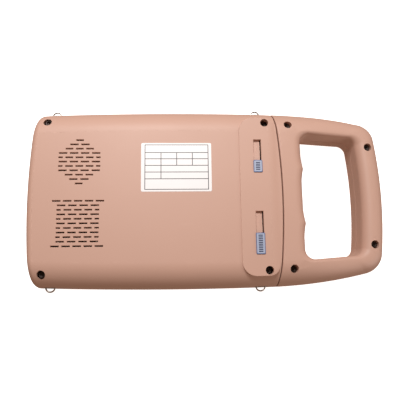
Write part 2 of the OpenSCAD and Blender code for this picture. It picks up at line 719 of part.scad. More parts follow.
// Display stack, from the window inwards
lcd_l = body_l - lcd_from_end - lcd_from_joint;
lcd_w = body_w - 2 * lcd_from_side;
view_l = lcd_l - 2 * lcd_end_border;
view_w = lcd_w - 2 * lcd_side_border;
display_x = end_x + lcd_from_end + lcd_l / 2;
window_recess = 2;
window_z = window_recess - window_t;
window_l = view_l + 2 * ledge;
window_w = view_w + 2 * ledge;
lcd_z = floor_t + gasket_t;
frame_z = lcd_z + lcd_t;
board_z = frame_z + frame_t + low_spacer;
board_top_z = board_z + board_t;
tray_z = board_top_z + high_spacer;
battery_z = tray_z + tray_t;
battery_h = ceiling_z - foam_t - battery_z;
fix_r = 3;
fix_screw_r = 1.25;
fix_head_r = 2.4;
fix_head_h = 1.8;
ear_w = 8;
board_l = lcd_l - 2 * board_inset;
board_w = body_w - 2 * board_from_side;
fix_l = board_l - 2 * fix_from_end;
fix_w = board_w - 2 * fix_from_side;
tray_x = grille_x + fan_l / 2 + tray_fan_gap;
tray_post_x = tray_x + ear_w / 2;
tray_l = display_x + fix_l / 2 + ear_w / 2 - tray_x;
battery_l = tray_l - 2 * battery_inset;
battery_w = fix_w - 2 * battery_fix_gap;

module box(x, y, z, l, w, h) {
    translate([x - l / 2, y - w / 2, z]) cube([l, w, h]);
}

module board_fixes() {
    for (sx = [-1, 1]) both_sides(display_x + sx * fix_l / 2, fix_w / 2) children();
}

module tray_fixes() {
    for (x = [tray_post_x, display_x + fix_l / 2]) both_sides(x, fix_w / 2) children();
}

// Keypad, from the caps inwards
keypad_x = joint_x - keypad_from_joint;
keypad_l = 36;
keypad_from_side = 20.6;
keypad_w = body_w - 2 * keypad_from_side;
keypad_recess = 1.2;
keypad_corner_r = 5;
key_face = 0.5;
flange_t = 1;
flange_rim = 1;
flange_z = floor_t + key_gap;
mat_z = flange_z + flange_t + key_travel + key_gap;
mat_t = 1.2;
key_board_z = mat_z + mat_t;
key_board_t = 1.2;
key_board_l = 35;
key_board_inset = 2;
key_board_w = keypad_w - 2 * key_board_inset;
key_fix_inset = 4.5;
key_fix_l = 27;
key_fix_w = key_board_w - 2 * key_fix_inset;
dome_r = 3;

module key_fixes() {
    for (sx = [-1, 1]) both_sides(keypad_x + sx * key_fix_l / 2, key_fix_w / 2) children();
}

function key_place(i) =
    [keypad_x + (i % 2 - 0.5) * key_col, keys_y + (floor(i / 2) - (key_rows - 1) / 2) * key_row];
key_count = 2 * key_rows;

module key_shape(grow, z, h) {
    box(0, 0, z, key_l + 2 * grow, key_w + 2 * grow, h);
}

// Fan and speaker under their grilles
fan_top_z = ceiling_z - fan_boss_h;
fan_z = fan_top_z - fan_h;
fan_boss_r = 2.9;
fan_hole_r = 1.6;
fan_screw_r = 1.3;
fan_thread = 2.6;
fan_web = 0.5;
hub_r = 7.8;
hub_h = 7;
hub_cap = 0.8;
rotor_lift = 0.3;
motor_r = 8;
motor_t = 1.8;
shaft_r = 1;
blade_count = 7;
blade_t = 0.9;
blade_w = 7;
blade_pitch_a = 40;
blade_tip_gap = 1;
speaker_flange_t = 2;
speaker_ring_h = 3;
speaker_gap = 0.3;

// Children at the four fixings on top of the fan
module fan_fixes() {
    for (sx = [-1, 1]) for (sy = [-1, 1])
        translate([grille_x + sx * fan_fix / 2, fan_y + sy * fan_fix / 2, fan_top_z]) children();
}

// Sockets in the free end
probe_body_l = 15;
probe_nut_t = 3;
probe_nut_r = 9.4;
port_board_from_end = 5.8;
port_board_x = end_x + port_board_from_end;
port_board_l = 11;
port_board_w = 38;
port_board_from_side = 20.6;
port_board_y = port_board_from_side + port_board_w / 2 - body_w / 2;
port_board_over_seam = 1.8;
port_board_z = seam_z + port_board_over_seam;
port_board_t = 1.2;
port_top_z = port_board_z + port_board_t;
port_post_r = 2.4;
port_post_inset = 2.8;
port_post_x = port_board_x + port_post_inset;
port_screw_r = 1;
port_screw_l = 6;
port_head_r = 1.9;
port_head_h = 1.2;
wall_gap = 0.1;
socket_offset = 9;
jack_y = port_board_y + socket_offset;
jack_w = 9;
jack_h = 11;
jack_l = 13;
jack_r = 3.2;
jack_pin_r = 1;
jack_depth = 9;
usb_y = port_board_y - socket_offset;
usb_w = 9;
usb_h = 4.2;
usb_l = 9;
usb_wall = 0.5;
usb_depth = 6;
function port_face_x(y, w) = end_edge(abs(y) + w / 2) + wall + wall_gap;

module port_fixes() {
    for (s = [-1, 1])
        translate([port_post_x, port_board_y + s * (port_board_w / 2 - port_post_inset), 0])
            children();
}

module port_cut(y, w, h) {
    translate([end_x - over, y - w / 2, port_top_z]) cube([wall + 4 * over, w, h]);
}

// Shells

module rear_cover() {
    color([0.83, 0.66, 0.59]) difference() {
        union() {
            field(body_net(0), seam_z);
            translate([0, 0, pad_z - pad_root]) linear_extrude(pad_root) pad_plan(0);
        }
        difference() {
            union() {
                field(body_net(wall), seam_z - over);
                translate([0, 0, seam_z - over])
                    linear_extrude(ceiling_z - seam_z + over) pad_plan(wall);
            }
            body_screw_places() cylinder(r = boss_r, h = pad_z + over);
            for (x = loop_xs) for (s = [-1, 1])
                box(x, s * (half_w(x) - block_depth / 2 + over), loop_z - block_h / 2,
                    block_l, block_depth + 2 * over, block_h);
            fan_fixes() cylinder(r = fan_boss_r, h = pad_z);
            translate([grille_x, speaker_y, ceiling_z - speaker_ring_h]) difference() {
                cylinder(r = speaker_r + speaker_gap + wall, h = speaker_ring_h + over);
                translate([0, 0, -over])
                    cylinder(r = speaker_r + speaker_gap, h = speaker_ring_h + 3 * over);
            }
        }
        body_screw_places() screw_cut(body_seat_z);
        loop_places() translate([-loop_gap_l / 2, -lug_depth, -loop_pocket_h / 2])
            cube([loop_gap_l, lug_depth + over, loop_pocket_h]);
        fan_fixes() translate([0, 0, -over])
            cylinder(r = fan_screw_r + thread_clear, h = fan_thread + over);
        grille(speaker_y, round_counts);
        difference() {
            grille(fan_y, square_counts);
            fan_fixes() cylinder(r = fan_boss_r, h = fan_boss_h + fan_web);
        }
        slot_cut(upper_slot_y, upper_knob_l);
        slot_cut(lower_slot_y, lower_knob_l);
        translate([end_x - over, 0, probe_z]) rotate([0, 90, 0])
            cylinder(r = probe_body_r + clear / 2, h = wall + 3 * over);
        port_cut(jack_y, jack_w + clear, jack_h + clear);
        port_cut(usb_y, usb_w + clear, usb_h + clear);
    }
}

module handle_cover() {
    color([0.82, 0.65, 0.58]) difference() {
        band(cover_net(0), seam_z);
        difference() {
            band(cover_net(wall), seam_z - over);
            handle_screw_places() cylinder(r = boss_r, h = pad_z + over);
        }
        handle_screw_places() screw_cut(handle_seat_z);
    }
}

front_cuts = 5;
boss_floor = 2.5;

module front_outside() {
    angles = quarter(front_cuts);
    stack(concat([for (a = angles) outline(front_round * (1 - sin(a)))], [outline(0)]),
        concat([for (a = angles) front_round * (1 - cos(a))], [seam_z]));
}

module front_cavity() {
    r = front_round - wall;
    angles = quarter(front_cuts);
    stack(concat([for (a = angles) outline(wall + r * (1 - sin(a)))], [outline(wall)]),
        concat([for (a = angles) floor_t + r * (1 - cos(a))], [seam_z + over]));
}

module hand_cut() {
    r = hand_front_round;
    angles = quarter(front_cuts);
    stack(concat([hand_loop(r)], [for (a = angles) hand_loop(r * (1 - sin(a)))], [hand_loop(0)]),
        concat([-over], [for (a = angles) r * (1 - cos(a))], [seam_z + over]));
}

// Rib under the two covers' end walls at the joint
module joint_rib() {
    half = joint_gap / 2 + wall;
    y0 = body_w / 2 + over;
    steps = 8;
    side = [for (i = [-steps : steps]) y0 * i / steps];
    linear_extrude(seam_z + 2 * over) polygon(concat([for (y = side) [joint_edge(y) - half, y]],
        [for (y = reversed(side)) [joint_edge(y) + half, y]]));
}

module front_housing() {
    rib_gap = 1;
    color([0.81, 0.64, 0.57]) difference() {
        front_outside();
        difference() {
            front_cavity();
            joint_rib();
            linear_extrude(seam_z + 2 * over) polygon(hand_loop(wall + rib_gap));
            all_bosses(boss_r);
            board_fixes() cylinder(r = fix_r, h = frame_z);
            key_fixes() cylinder(r = fix_r, h = key_board_z);
            port_fixes() cylinder(r = port_post_r, h = port_board_z);
        }
        hand_cut();
        port_fixes() translate([0, 0, port_board_z - port_screw_l])
            cylinder(r = port_screw_r + thread_clear, h = port_screw_l);
        body_screw_places() translate([0, 0, body_seat_z - body_screw_l - over])
            cylinder(r = screw_r + thread_clear, h = body_screw_l);
        handle_screw_places() translate([0, 0, handle_seat_z - handle_screw_l - over])
            cylinder(r = screw_r + thread_clear, h = handle_screw_l);
        board_fixes() translate([0, 0, boss_floor])
            cylinder(r = fix_screw_r + thread_clear, h = frame_z);
        key_fixes() translate([0, 0, boss_floor])
            cylinder(r = fix_screw_r + thread_clear, h = key_board_z);
        box(display_x, 0, -over, window_l + 2 * key_gap, window_w + 2 * key_gap, window_recess + over);
        box(display_x, 0, -over, view_l, view_w, floor_t + 2 * over);
        translate([keypad_x, 0, -over]) keypad_recess_shape();
        for (i = [0 : key_count - 1])
            translate(concat(key_place(i), 0)) key_shape(key_gap, -over, floor_t + 2 * over);
        translate([keypad_x, power_y, -over])
            cylinder(r = power_r + key_gap, h = floor_t + 2 * over);
    }
}

module keypad_recess_shape() {
    l = keypad_l - 2 * keypad_corner_r;
    w = keypad_w - 2 * keypad_corner_r;
    linear_extrude(keypad_recess + over) union() {
        square([l, keypad_w], center = true);
        square([keypad_l, w], center = true);
        for (sx = [-1, 1]) for (sy = [-1, 1])
            translate([sx * l / 2, sy * w / 2]) circle(r = keypad_corner_r);
    }
}

module rating_label() {
    color([0.95, 0.95, 0.94])
        box(end_x + label_from_end + label_l / 2, label_y, body_h, label_l, label_w, label_t);
}

// Fasteners

module body_screws() {
    color([0.2, 0.18, 0.17]) body_screw_places() cap_screw(body_seat_z, body_screw_l);
}

module handle_screws() {
    color([0.2, 0.18, 0.17]) handle_screw_places() cap_screw(handle_seat_z, handle_screw_l);
}

// Strap loops

module strap_lugs() {
    color([0.6, 0.6, 0.62]) difference() {
        loop_places() translate([-lug_l / 2, -lug_depth, -lug_h / 2])
            cube([lug_l, lug_depth - hinge_depth + lug_nose, lug_h]);
        loop_places() translate([-lug_l, -hinge_depth, 0]) rotate([0, 90, 0])
            cylinder(r = bar_r + hinge_clear, h = 2 * lug_l);
    }
}

module strap_loop_1() { color("silver") strap_loop(0); }
module strap_loop_2() { color("silver") strap_loop(1); }
module strap_loop_3() { color("silver") strap_loop(2); }
module strap_loop_4() { color("silver") strap_loop(3); }

// Slide controls

module upper_slider() { color([0.62, 0.68, 0.84]) knob(upper_slot_y, upper_knob_l); }
module lower_slider() { color([0.62, 0.68, 0.84]) knob(lower_slot_y, lower_knob_l); }

module slide_pots() {
    color([0.3, 0.3, 0.32]) {
        slide_pot(upper_slot_y, upper_knob_l);
        slide_pot(lower_slot_y, lower_knob_l);
    }
}

// Display

module display_window() {
    color([0.1, 0.12, 0.14]) box(display_x, 0, window_z, window_l, window_w, window_t);
}

module display_gasket() {
    inset = 4;
    color([0.15, 0.15, 0.15]) difference() {
        box(display_x, 0, floor_t, lcd_l, lcd_w, gasket_t);
        box(display_x, 0, floor_t - over, view_l + inset, view_w + inset, gasket_t + 2 * over);
    }
}

module display_module() {
    color([0.35, 0.36, 0.38]) box(display_x, 0, lcd_z, lcd_l, lcd_w, lcd_t);
}

module display_frame() {
    rim = 10;
    color([0.7, 0.7, 0.72]) difference() {
        union() {
            box(display_x, 0, frame_z, lcd_l - 2 * over, lcd_w, frame_t);
            for (sx = [-1, 1])
                box(display_x + sx * fix_l / 2, 0, frame_z, ear_w, fix_w + ear_w, frame_t);
        }
        box(display_x, 0, frame_z - over, lcd_l - 2 * rim, lcd_w - 2 * rim, frame_t + 2 * over);
        board_fixes() cylinder(r = fix_screw_r + screw_clear, h = board_z);
    }
}

// Flat cable: a bent strip from the module's edge up to the top of the main board
module display_cable() {
    t = 0.3;
    cable_w = 30;
    reach = 2.2;
    lap = 6;
    x0 = display_x + lcd_l / 2;
    z0 = lcd_z + lcd_t / 2;
    x1 = x0 + reach;
    x2 = display_x + board_l / 2 - lap;
    z1 = board_top_z;
    color([0.75, 0.5, 0.2]) translate([0, cable_w / 2, 0]) rotate([90, 0, 0])
        linear_extrude(cable_w) polygon([[x0, z0], [x1, z0], [x1, z1 + t], [x2, z1 + t], [x2, z1],
            [x1 - t, z1], [x1 - t, z0 + t], [x0, z0 + t]]);
}

// Keys

module key(i) {
    translate(concat(key_place(i), 0)) {
        key_shape(0, key_face, flange_z - key_face + flange_t / 2);
        key_shape(flange_rim, flange_z, flange_t);
    }
}

module key_1() { color([0.9, 0.9, 0.88]) key(0); }
module key_2() { color([0.9, 0.9, 0.88]) key(1); }
module key_3() { color([0.9, 0.9, 0.88]) key(2); }
module key_4() { color([0.9, 0.9, 0.88]) key(3); }
module key_5() { color([0.9, 0.9, 0.88]) key(4); }
module key_6() { color([0.9, 0.9, 0.88]) key(5); }
module key_7() { color([0.9, 0.9, 0.88]) key(6); }
module key_8() { color([0.9, 0.9, 0.88]) key(7); }

module power_key() {
    color([0.8, 0.3, 0.25]) translate([keypad_x, power_y, 0]) {
        translate([0, 0, key_face]) cylinder(r = power_r, h = flange_z - key_face + flange_t / 2);
        translate([0, 0, flange_z]) cylinder(r = power_r + flange_rim, h = flange_t);
    }
}

module key_mat() {
    color([0.85, 0.86, 0.86]) difference() {
        box(keypad_x, 0, mat_z, key_board_l, key_board_w, mat_t);
        key_fixes() translate([0, 0, mat_z - over])
            cylinder(r = fix_r + screw_clear, h = mat_t + 2 * over);
    }
}

module key_board() {
    color([0.1, 0.35, 0.2]) difference() {
        box(keypad_x, 0, key_board_z, key_board_l, key_board_w, key_board_t);
        key_fixes() translate([0, 0, key_board_z - over])
            cylinder(r = fix_screw_r + screw_clear, h = key_board_t + 2 * over);
    }
}

module pan_screw(z, l) {
    translate([0, 0, z]) cylinder(r = fix_head_r, h = fix_head_h);
    translate([0, 0, z - l]) cylinder(r = fix_screw_r, h = l + fix_head_h / 2);
}

module key_board_screws() {
    thread = 3.8;
    l = key_board_t + thread;
    color("silver") key_fixes() pan_screw(key_board_z + key_board_t, l);
}

module key_cable() {
    t = 0.3;
    cable_w = 14;
    lap = 4;
    x0 = keypad_x - key_board_l / 2 + lap;
    x1 = display_x + board_l / 2;
    z0 = key_board_z + key_board_t;
    z1 = board_top_z;
    y = 34;
    color([0.75, 0.5, 0.2]) translate([0, y + cable_w, 0]) rotate([90, 0, 0])
        linear_extrude(cable_w) polygon([[x0, z0], [x0, z0 + t], [x0 - lap / 2, z0 + t],
            [x0 - lap / 2, z1 + t], [x1 - lap, z1 + t], [x1 - lap, z1],
            [x0 - lap / 2 - t, z1], [x0 - lap / 2 - t, z0]]);
}

// Boards

module main_board() {
    chip_l = 22;
    chip_t = 1.8;
    color([0.1, 0.4, 0.25]) difference() {
        union() {
            box(display_x, 0, board_z, board_l, board_w, board_t);
            box(grille_x, fan_y, board_top_z - over / 2, chip_l, chip_l, chip_t + over / 2);
        }
        board_fixes() cylinder(r = fix_screw_r + screw_clear, h = body_h);
        tray_fixes() cylinder(r = fix_screw_r + screw_clear, h = body_h);
    }
}

module shield_can() {
    can_l = 36;
    can_w = 46;
    can_h = 7;
    can_t = 0.5;
    color([0.75, 0.76, 0.78]) difference() {
        box(grille_x, speaker_y + clear, board_top_z, can_l, can_w, can_h);
        box(grille_x, speaker_y + clear, board_top_z - over,
            can_l - 2 * can_t, can_w - 2 * can_t, can_h - can_t + over);
    }
}

module heat_sink() {
    sink_l = 36;
    base_t = 2;
    fin_t = 1.4;
    fins = 9;
    chip_t = 1.8;
    z = board_top_z + chip_t;
    fin_h = fan_z - fix_head_h - clear - z - base_t;
    color([0.7, 0.72, 0.74]) {
        box(grille_x, fan_y, z, sink_l, sink_l, base_t);
        for (i = [0 : fins - 1])
            box(grille_x, fan_y - sink_l / 2 + fin_t / 2 + i * (sink_l - fin_t) / (fins - 1),
                z + base_t / 2, sink_l, fin_t, base_t / 2 + fin_h);
    }
}

module spacer(z, h) {
    translate([0, 0, z]) difference() {
        cylinder(r = fix_r, h = h);
        translate([0, 0, -over]) cylinder(r = fix_screw_r + screw_clear, h = h + 2 * over);
    }
}

module board_spacers() {
    color([0.8, 0.65, 0.3]) {
        board_fixes() spacer(frame_z + frame_t, low_spacer);
        tray_fixes() spacer(board_top_z, high_spacer);
    }
}

// Two long screws hold the tray, two short ones the board's free end, and two the tray's posts
module board_screws() {
    thread = 5;
    top = tray_z + tray_t;
    color("silver") {
        both_sides(display_x - fix_l / 2, fix_w / 2)
            pan_screw(board_top_z, board_top_z - frame_z + thread);
        both_sides(display_x + fix_l / 2, fix_w / 2) pan_screw(top, top - frame_z + thread);
        both_sides(tray_post_x, fix_w / 2) pan_screw(top, top - board_z);
    }
}

// Power

battery_x = tray_x + tray_l / 2;
module battery_tray() {
    lip_h = 6;
    lip = tray_t;
    color([0.72, 0.73, 0.75]) difference() {
        union() {
            box(battery_x, 0, tray_z, tray_l, fix_w + ear_w, tray_t);
            for (s = [-1, 1]) box(battery_x, s * (battery_w / 2 + clear + lip / 2), tray_z,
                tray_l, lip, tray_t + lip_h);
        }
        tray_fixes() cylinder(r = fix_screw_r + screw_clear, h = body_h);
    }
}

module battery_pack() {
    color([0.2, 0.3, 0.5]) box(battery_x, 0, battery_z, battery_l, battery_w, battery_h);
}

module foam_strips() {
    strip_w = 12;
    color([0.25, 0.25, 0.25]) for (sy = [-1, 1])
        box(battery_x, sy * battery_w / 3, ceiling_z - foam_t, battery_l - strip_w, strip_w, foam_t);
}

// Fan

module fan_housing() {
    strut_w = 3;
    color([0.13, 0.13, 0.14]) translate([grille_x, fan_y, fan_z]) {
        difference() {
            box(0, 0, 0, fan_l, fan_l, fan_h);
            translate([0, 0, -over]) cylinder(r = fan_bore_r, h = fan_h + 2 * over);
            for (sx = [-1, 1]) for (sy = [-1, 1])
                translate([sx * fan_fix / 2, sy * fan_fix / 2, -over])
                    cylinder(r = fan_hole_r, h = fan_h + 2 * over);
        }
        cylinder(r = motor_r, h = motor_t);
        for (a = [30, 150, 270]) rotate([0, 0, a])
            translate([motor_r - over, -strut_w / 2, 0])
                cube([fan_bore_r - motor_r + 2 * over, strut_w, motor_t]);
        cylinder(r = shaft_r, h = motor_t + hub_h - hub_cap);
    }
}

module fan_rotor() {
    z = fan_z + motor_t + rotor_lift;
    color([0.2, 0.2, 0.22]) translate([grille_x, fan_y, z]) difference() {
        union() {
            cylinder(r = hub_r, h = hub_h);
            for (i = [0 : blade_count - 1]) rotate([0, 0, 360 * i / blade_count])
                translate([hub_r - over / 2, 0, hub_h / 2]) rotate([blade_pitch_a, 0, 0])
                    translate([0, -blade_w / 2, -blade_t / 2])
                        cube([fan_bore_r - blade_tip_gap - hub_r, blade_w, blade_t]);
        }
        translate([0, 0, -over]) cylinder(r = shaft_r + thread_clear, h = hub_h - hub_cap + over);
    }
}

module fan_screws() {
    l = fan_h + fan_thread - over / 2;
    color("silver") fan_fixes() translate([0, 0, -fan_h]) {
        translate([0, 0, -fix_head_h]) cylinder(r = fix_head_r, h = fix_head_h);
        translate([0, 0, -fix_head_h / 2]) cylinder(r = fan_screw_r, h = l + fix_head_h / 2);
    }
}

module loudspeaker() {
    basket_r = speaker_r * 0.78;
    basket_h = 3;
    magnet_r = speaker_r * 0.6;
    magnet_h = 3.5;
    z = ceiling_z - speaker_flange_t;
    color([0.2, 0.2, 0.22]) translate([grille_x, speaker_y, 0]) {
        translate([0, 0, z]) cylinder(r = speaker_r, h = speaker_flange_t);
        translate([0, 0, z - basket_h]) cylinder(r = basket_r, h = basket_h + speaker_flange_t / 2);
        translate([0, 0, z - basket_h - magnet_h]) cylinder(r = magnet_r, h = magnet_h + basket_h / 2);
    }
}

// Sockets in the free end

module probe_socket() {
    tail_r = 4;
    tail_l = 4;
    color([0.62, 0.63, 0.65]) translate([end_x, 0, probe_z]) rotate([0, 90, 0])
        difference() {
            union() {
                cylinder(r = probe_body_r, h = probe_body_l);
                cylinder(r = tail_r, h = probe_body_l + tail_l);
            }
            translate([0, 0, -over]) cylinder(r = probe_bore_r, h = probe_depth + over);
        }
}

module probe_nut() {
    x = end_edge(probe_nut_r) + wall + wall_gap;
    color([0.75, 0.75, 0.76]) translate([x, 0, probe_z]) rotate([0, 90, 0])
        difference() {
            rotate([0, 0, 30]) cylinder(r = probe_nut_r, h = probe_nut_t, $fn = 6);
            translate([0, 0, -over])
                cylinder(r = probe_body_r + thread_clear, h = probe_nut_t + 2 * over);
        }
}

module port_board() {
    color([0.1, 0.4, 0.25]) difference() {
        translate([port_board_x, port_board_y - port_board_w / 2, port_board_z])
            cube([port_board_l, port_board_w, port_board_t]);
        port_fixes() translate([0, 0, port_board_z - over])
            cylinder(r = port_screw_r + screw_clear, h = port_board_t + 2 * over);
    }
}

module port_screws() {
    color("silver") port_fixes() {
        translate([0, 0, port_top_z]) cylinder(r = port_head_r, h = port_head_h);
        translate([0, 0, port_top_z - port_screw_l])
            cylinder(r = port_screw_r, h = port_screw_l + port_head_h / 2);
    }
}

module charge_jack() {
    x = port_face_x(jack_y, jack_w);
    z = port_top_z + jack_h / 2;
    color([0.12, 0.12, 0.12]) difference() {
        translate([x, jack_y - jack_w / 2, port_top_z]) cube([jack_l, jack_w, jack_h]);
        difference() {
            translate([x - over, jack_y, z]) rotate([0, 90, 0])
                cylinder(r = jack_r, h = jack_depth + over);
            translate([x + over, jack_y, z]) rotate([0, 90, 0])
                cylinder(r = jack_pin_r, h = jack_depth + over);
        }
    }
}

module usb_socket() {
    x = port_face_x(usb_y, usb_w);
    color([0.72, 0.73, 0.75]) difference() {
        translate([x, usb_y - usb_w / 2, port_top_z]) cube([usb_l, usb_w, usb_h]);
        translate([x - over, usb_y - usb_w / 2 + usb_wall, port_top_z + usb_wall])
            cube([usb_depth + over, usb_w - 2 * usb_wall, usb_h - 2 * usb_wall]);
    }
}

rear_cover();
handle_cover();
front_housing();
rating_label();
body_screws();
handle_screws();
strap_lugs();
strap_loop_1();
strap_loop_2();
strap_loop_3();
strap_loop_4();
upper_slider();
lower_slider();
slide_pots();
display_window();
display_gasket();
display_module();
display_frame();
display_cable();
key_1();
key_2();
key_3();
key_4();
key_5();
key_6();
key_7();
key_8();
power_key();
key_mat();
key_board();
key_board_screws();
key_cable();
main_board();
shield_can();
heat_sink();
board_spacers();
board_screws();
battery_tray();
battery_pack();
foam_strips();
fan_housing();
fan_rotor();
fan_screws();
loudspeaker();
probe_socket();
probe_nut();
port_board();
charge_jack();
usb_socket();
port_screws();
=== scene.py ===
from math import atan, cos, pi, radians, sin, sqrt

import bmesh
import bpy
from mathutils import Matrix, Vector


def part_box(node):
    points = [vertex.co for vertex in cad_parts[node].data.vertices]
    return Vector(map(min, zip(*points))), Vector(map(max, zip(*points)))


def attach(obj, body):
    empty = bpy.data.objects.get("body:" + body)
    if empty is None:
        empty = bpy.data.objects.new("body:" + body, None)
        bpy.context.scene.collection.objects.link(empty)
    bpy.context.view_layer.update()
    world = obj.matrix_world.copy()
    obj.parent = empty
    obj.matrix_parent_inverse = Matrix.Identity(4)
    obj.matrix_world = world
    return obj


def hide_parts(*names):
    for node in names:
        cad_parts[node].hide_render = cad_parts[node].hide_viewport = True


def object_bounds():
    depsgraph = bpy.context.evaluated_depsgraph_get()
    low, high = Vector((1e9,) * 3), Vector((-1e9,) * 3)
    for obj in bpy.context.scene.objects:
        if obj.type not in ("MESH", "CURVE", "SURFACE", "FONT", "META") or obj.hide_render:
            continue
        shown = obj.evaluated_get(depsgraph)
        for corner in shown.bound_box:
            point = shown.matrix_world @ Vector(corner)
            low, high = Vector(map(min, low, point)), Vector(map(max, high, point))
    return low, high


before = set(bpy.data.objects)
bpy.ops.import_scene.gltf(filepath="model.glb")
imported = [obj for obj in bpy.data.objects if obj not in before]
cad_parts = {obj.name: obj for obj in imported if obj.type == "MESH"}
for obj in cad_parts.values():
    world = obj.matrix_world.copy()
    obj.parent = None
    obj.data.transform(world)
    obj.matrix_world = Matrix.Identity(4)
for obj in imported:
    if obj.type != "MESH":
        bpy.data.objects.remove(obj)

CAD_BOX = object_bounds()

# The scanner's sizes are in millimetres, as in the part's source, and become metres in new_piece.
MM = 0.001
END_X, FAR_X = CAD_BOX[0].x / MM, CAD_BOX[1].x / MM
BODY_L = 216
BODY_W = 157.2
SEAM_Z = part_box("front_housing")[1].z / MM
BODY_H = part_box("rating_label")[0].z / MM
PAD_Z = BODY_H + 0.8
JOINT_X = END_X + BODY_L
HANDLE_L = FAR_X - JOINT_X
FAR_H = 36
WALL = 2.2
FLOOR = 3
SIDE_ROUND = 22
END_ROUND = 5
CORNER_R = 5.5
FRONT_ROUND = 8
SIDE_BOW_R, END_BOW_R, JOINT_BOW_R, FAR_BOW_R = 3070, 620, 560, 380
WIDEST_X = END_X + 133.75
TAPER_X, TAPER_R = JOINT_X - 7.75, 450
JOINT_GAP = 0.8
JOINT_ROUND = 1
HANDLE_CORNER_R, CORNER_SHARE = 18, 0.8
BAR_ROUND = 14
FAR_ROUND = 10

# Hand opening
HAND_X = JOINT_X + 18.6
FAR_BAR = 19.2
HAND_FAR_X = FAR_X - FAR_BAR
HAND_W, HAND_W_FAR = 111, 103
HAND_CORNER_R = 8
HAND_SLOPE = (HAND_W_FAR - HAND_W) / 2 / (HAND_FAR_X - HAND_X)
PALM_ROUND, BAR_EDGE, FAR_EDGE = 7.5, 3.5, 8
HAND_FRONT_ROUND = 6
RIDGE_H, RIDGE_Y, RIDGE_HALF, RIDGE_POWER = 1.9, 24, 13, 1.6

# Shares of each stretch of the outlines, as the part's source cuts them. FINE cuts them further.
FINE = 4
END_SHARES = [0, 0.22, 0.44, 0.64, 0.82, 1]
SIDE_SHARES = [0, 0.08, 0.2, 0.34, 0.48, 0.62, 0.72, 0.8, 0.87, 0.94, 1]
BAR_SHARES = [0, 0.03, 0.08, 0.15, 0.24, 0.36, 0.5, 0.64, 0.78, 0.9, 1]
TOP_SHARES = [0, 0.15, 0.33, 0.5, 0.67, 0.85, 1]
JOINT_SHARES = [0, 0.07, 0.13, 0.18, 0.23, 0.27, 0.31, 0.35, 0.4, 0.47, 0.55, 0.63,
                0.71, 0.79, 0.87, 0.94, 1]
PALM_SHARES = [0, 0.13, 0.24, 0.33, 0.41, 0.47, 0.53, 0.6, 0.67, 0.76, 0.86, 0.95, 1]
FAR_SHARES = [1, 0.85, 0.68, 0.5, 0.32, 0.16, 0]
JOINT_STEPS = len(JOINT_SHARES) - 1
PALM_STEPS = len(PALM_SHARES) - 1
NEAR_ARC_STEPS, FAR_ARC_STEPS = 8, 6
BAR_STEPS = JOINT_STEPS + len(BAR_SHARES) - 1
# The bar's round opens over the last steps along the joint
OPEN_BEFORE, OPEN_STEPS = 6, 3
# Cuts across the body's flat part, along it, and of the joint's round
FLAT_CUTS, LONG_CUTS, JOINT_CUTS = 12, 24, 4
LONG_END_X = JOINT_X - 8

# Edges that catch the light
SEAM_CHAMFER = 0.3
CUT_CHAMFER = 0.25

# How far the cutters reach past a face
PAST = 1


def packed(node):
    """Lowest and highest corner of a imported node, in millimetres."""
    return [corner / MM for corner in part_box(node)]


# Lines and heights of the form

def mix(a, b, t):
    return a + (b - a) * t


def ease(t):
    u = min(1, max(0, t))
    return u * u * (3 - 2 * u)


def bow(d, r):
    return d * d / (2 * r)


def drop(d, r):
    """How far a round of radius r has fallen at the distance d from its outer wall."""
    return 0 if d >= r else r - sqrt(max(0, r * r - (r - max(0, d)) ** 2))


def half_w(x):
    return BODY_W / 2 - bow(x - WIDEST_X, SIDE_BOW_R) - bow(max(0, x - TAPER_X), TAPER_R)


def slope_w(x):
    return -(x - WIDEST_X) / SIDE_BOW_R - max(0, x - TAPER_X) / TAPER_R


def end_edge(y):
    return END_X + bow(y, END_BOW_R)


def joint_edge(y):
    return JOINT_X - bow(y, JOINT_BOW_R)


def far_edge(y):
    return FAR_X - bow(y, FAR_BOW_R)


def refined(values, parts=FINE):
    """The same list with parts - 1 values put evenly between each two neighbours."""
    fine = []
    for a, b in zip(values, values[1:]):
        fine += [mix(a, b, k / parts) for k in range(parts)]
    return fine + [values[-1]]


def quarter(cuts):
    return [pi / 2 * k / cuts for k in range(cuts + 1)]


def moved(point, angle, distance):
    return point[0] + distance * cos(angle), point[1] + distance * sin(angle)


def corner_arc(p, a, q, b, r, cuts):
    """Round between the line through p that faces angle a and the one through q that faces b."""
    s = p[0] * cos(a) + p[1] * sin(a) - r
    t = q[0] * cos(b) + q[1] * sin(b) - r
    turn = sin(b - a)
    centre = ((s * sin(b) - t * sin(a)) / turn, (t * cos(a) - s * cos(b)) / turn)
    return [moved(centre, mix(a, b, k / cuts), r) for k in range(cuts + 1)]


def end_corner(off):
    y = half_w(END_X) - CORNER_R
    a = pi - atan(y / END_BOW_R)
    x = END_X + CORNER_R
    b = pi / 2 + atan(slope_w(x))
    return corner_arc(moved((end_edge(y), y), a, -off), a, moved((x, half_w(x)), b, -off), b,
                      max(JOINT_ROUND, CORNER_R - off), FAR_ARC_STEPS * FINE)


def far_corner(off):
    x = FAR_X - HANDLE_CORNER_R
    a = pi / 2 + atan(slope_w(x))
    y = half_w(x) - HANDLE_CORNER_R * CORNER_SHARE
    b = atan(y / FAR_BOW_R)
    return corner_arc(moved((x, half_w(x)), a, -off), a, moved((far_edge(y), y), b, -off), b,
                      HANDLE_CORNER_R - off, FAR_ARC_STEPS * FINE)


def whole_loop(half):
    """A loop from its upper half, which starts and ends on the centre line."""
    return half + [(x, -y) for x, y in half[-2:0:-1]]


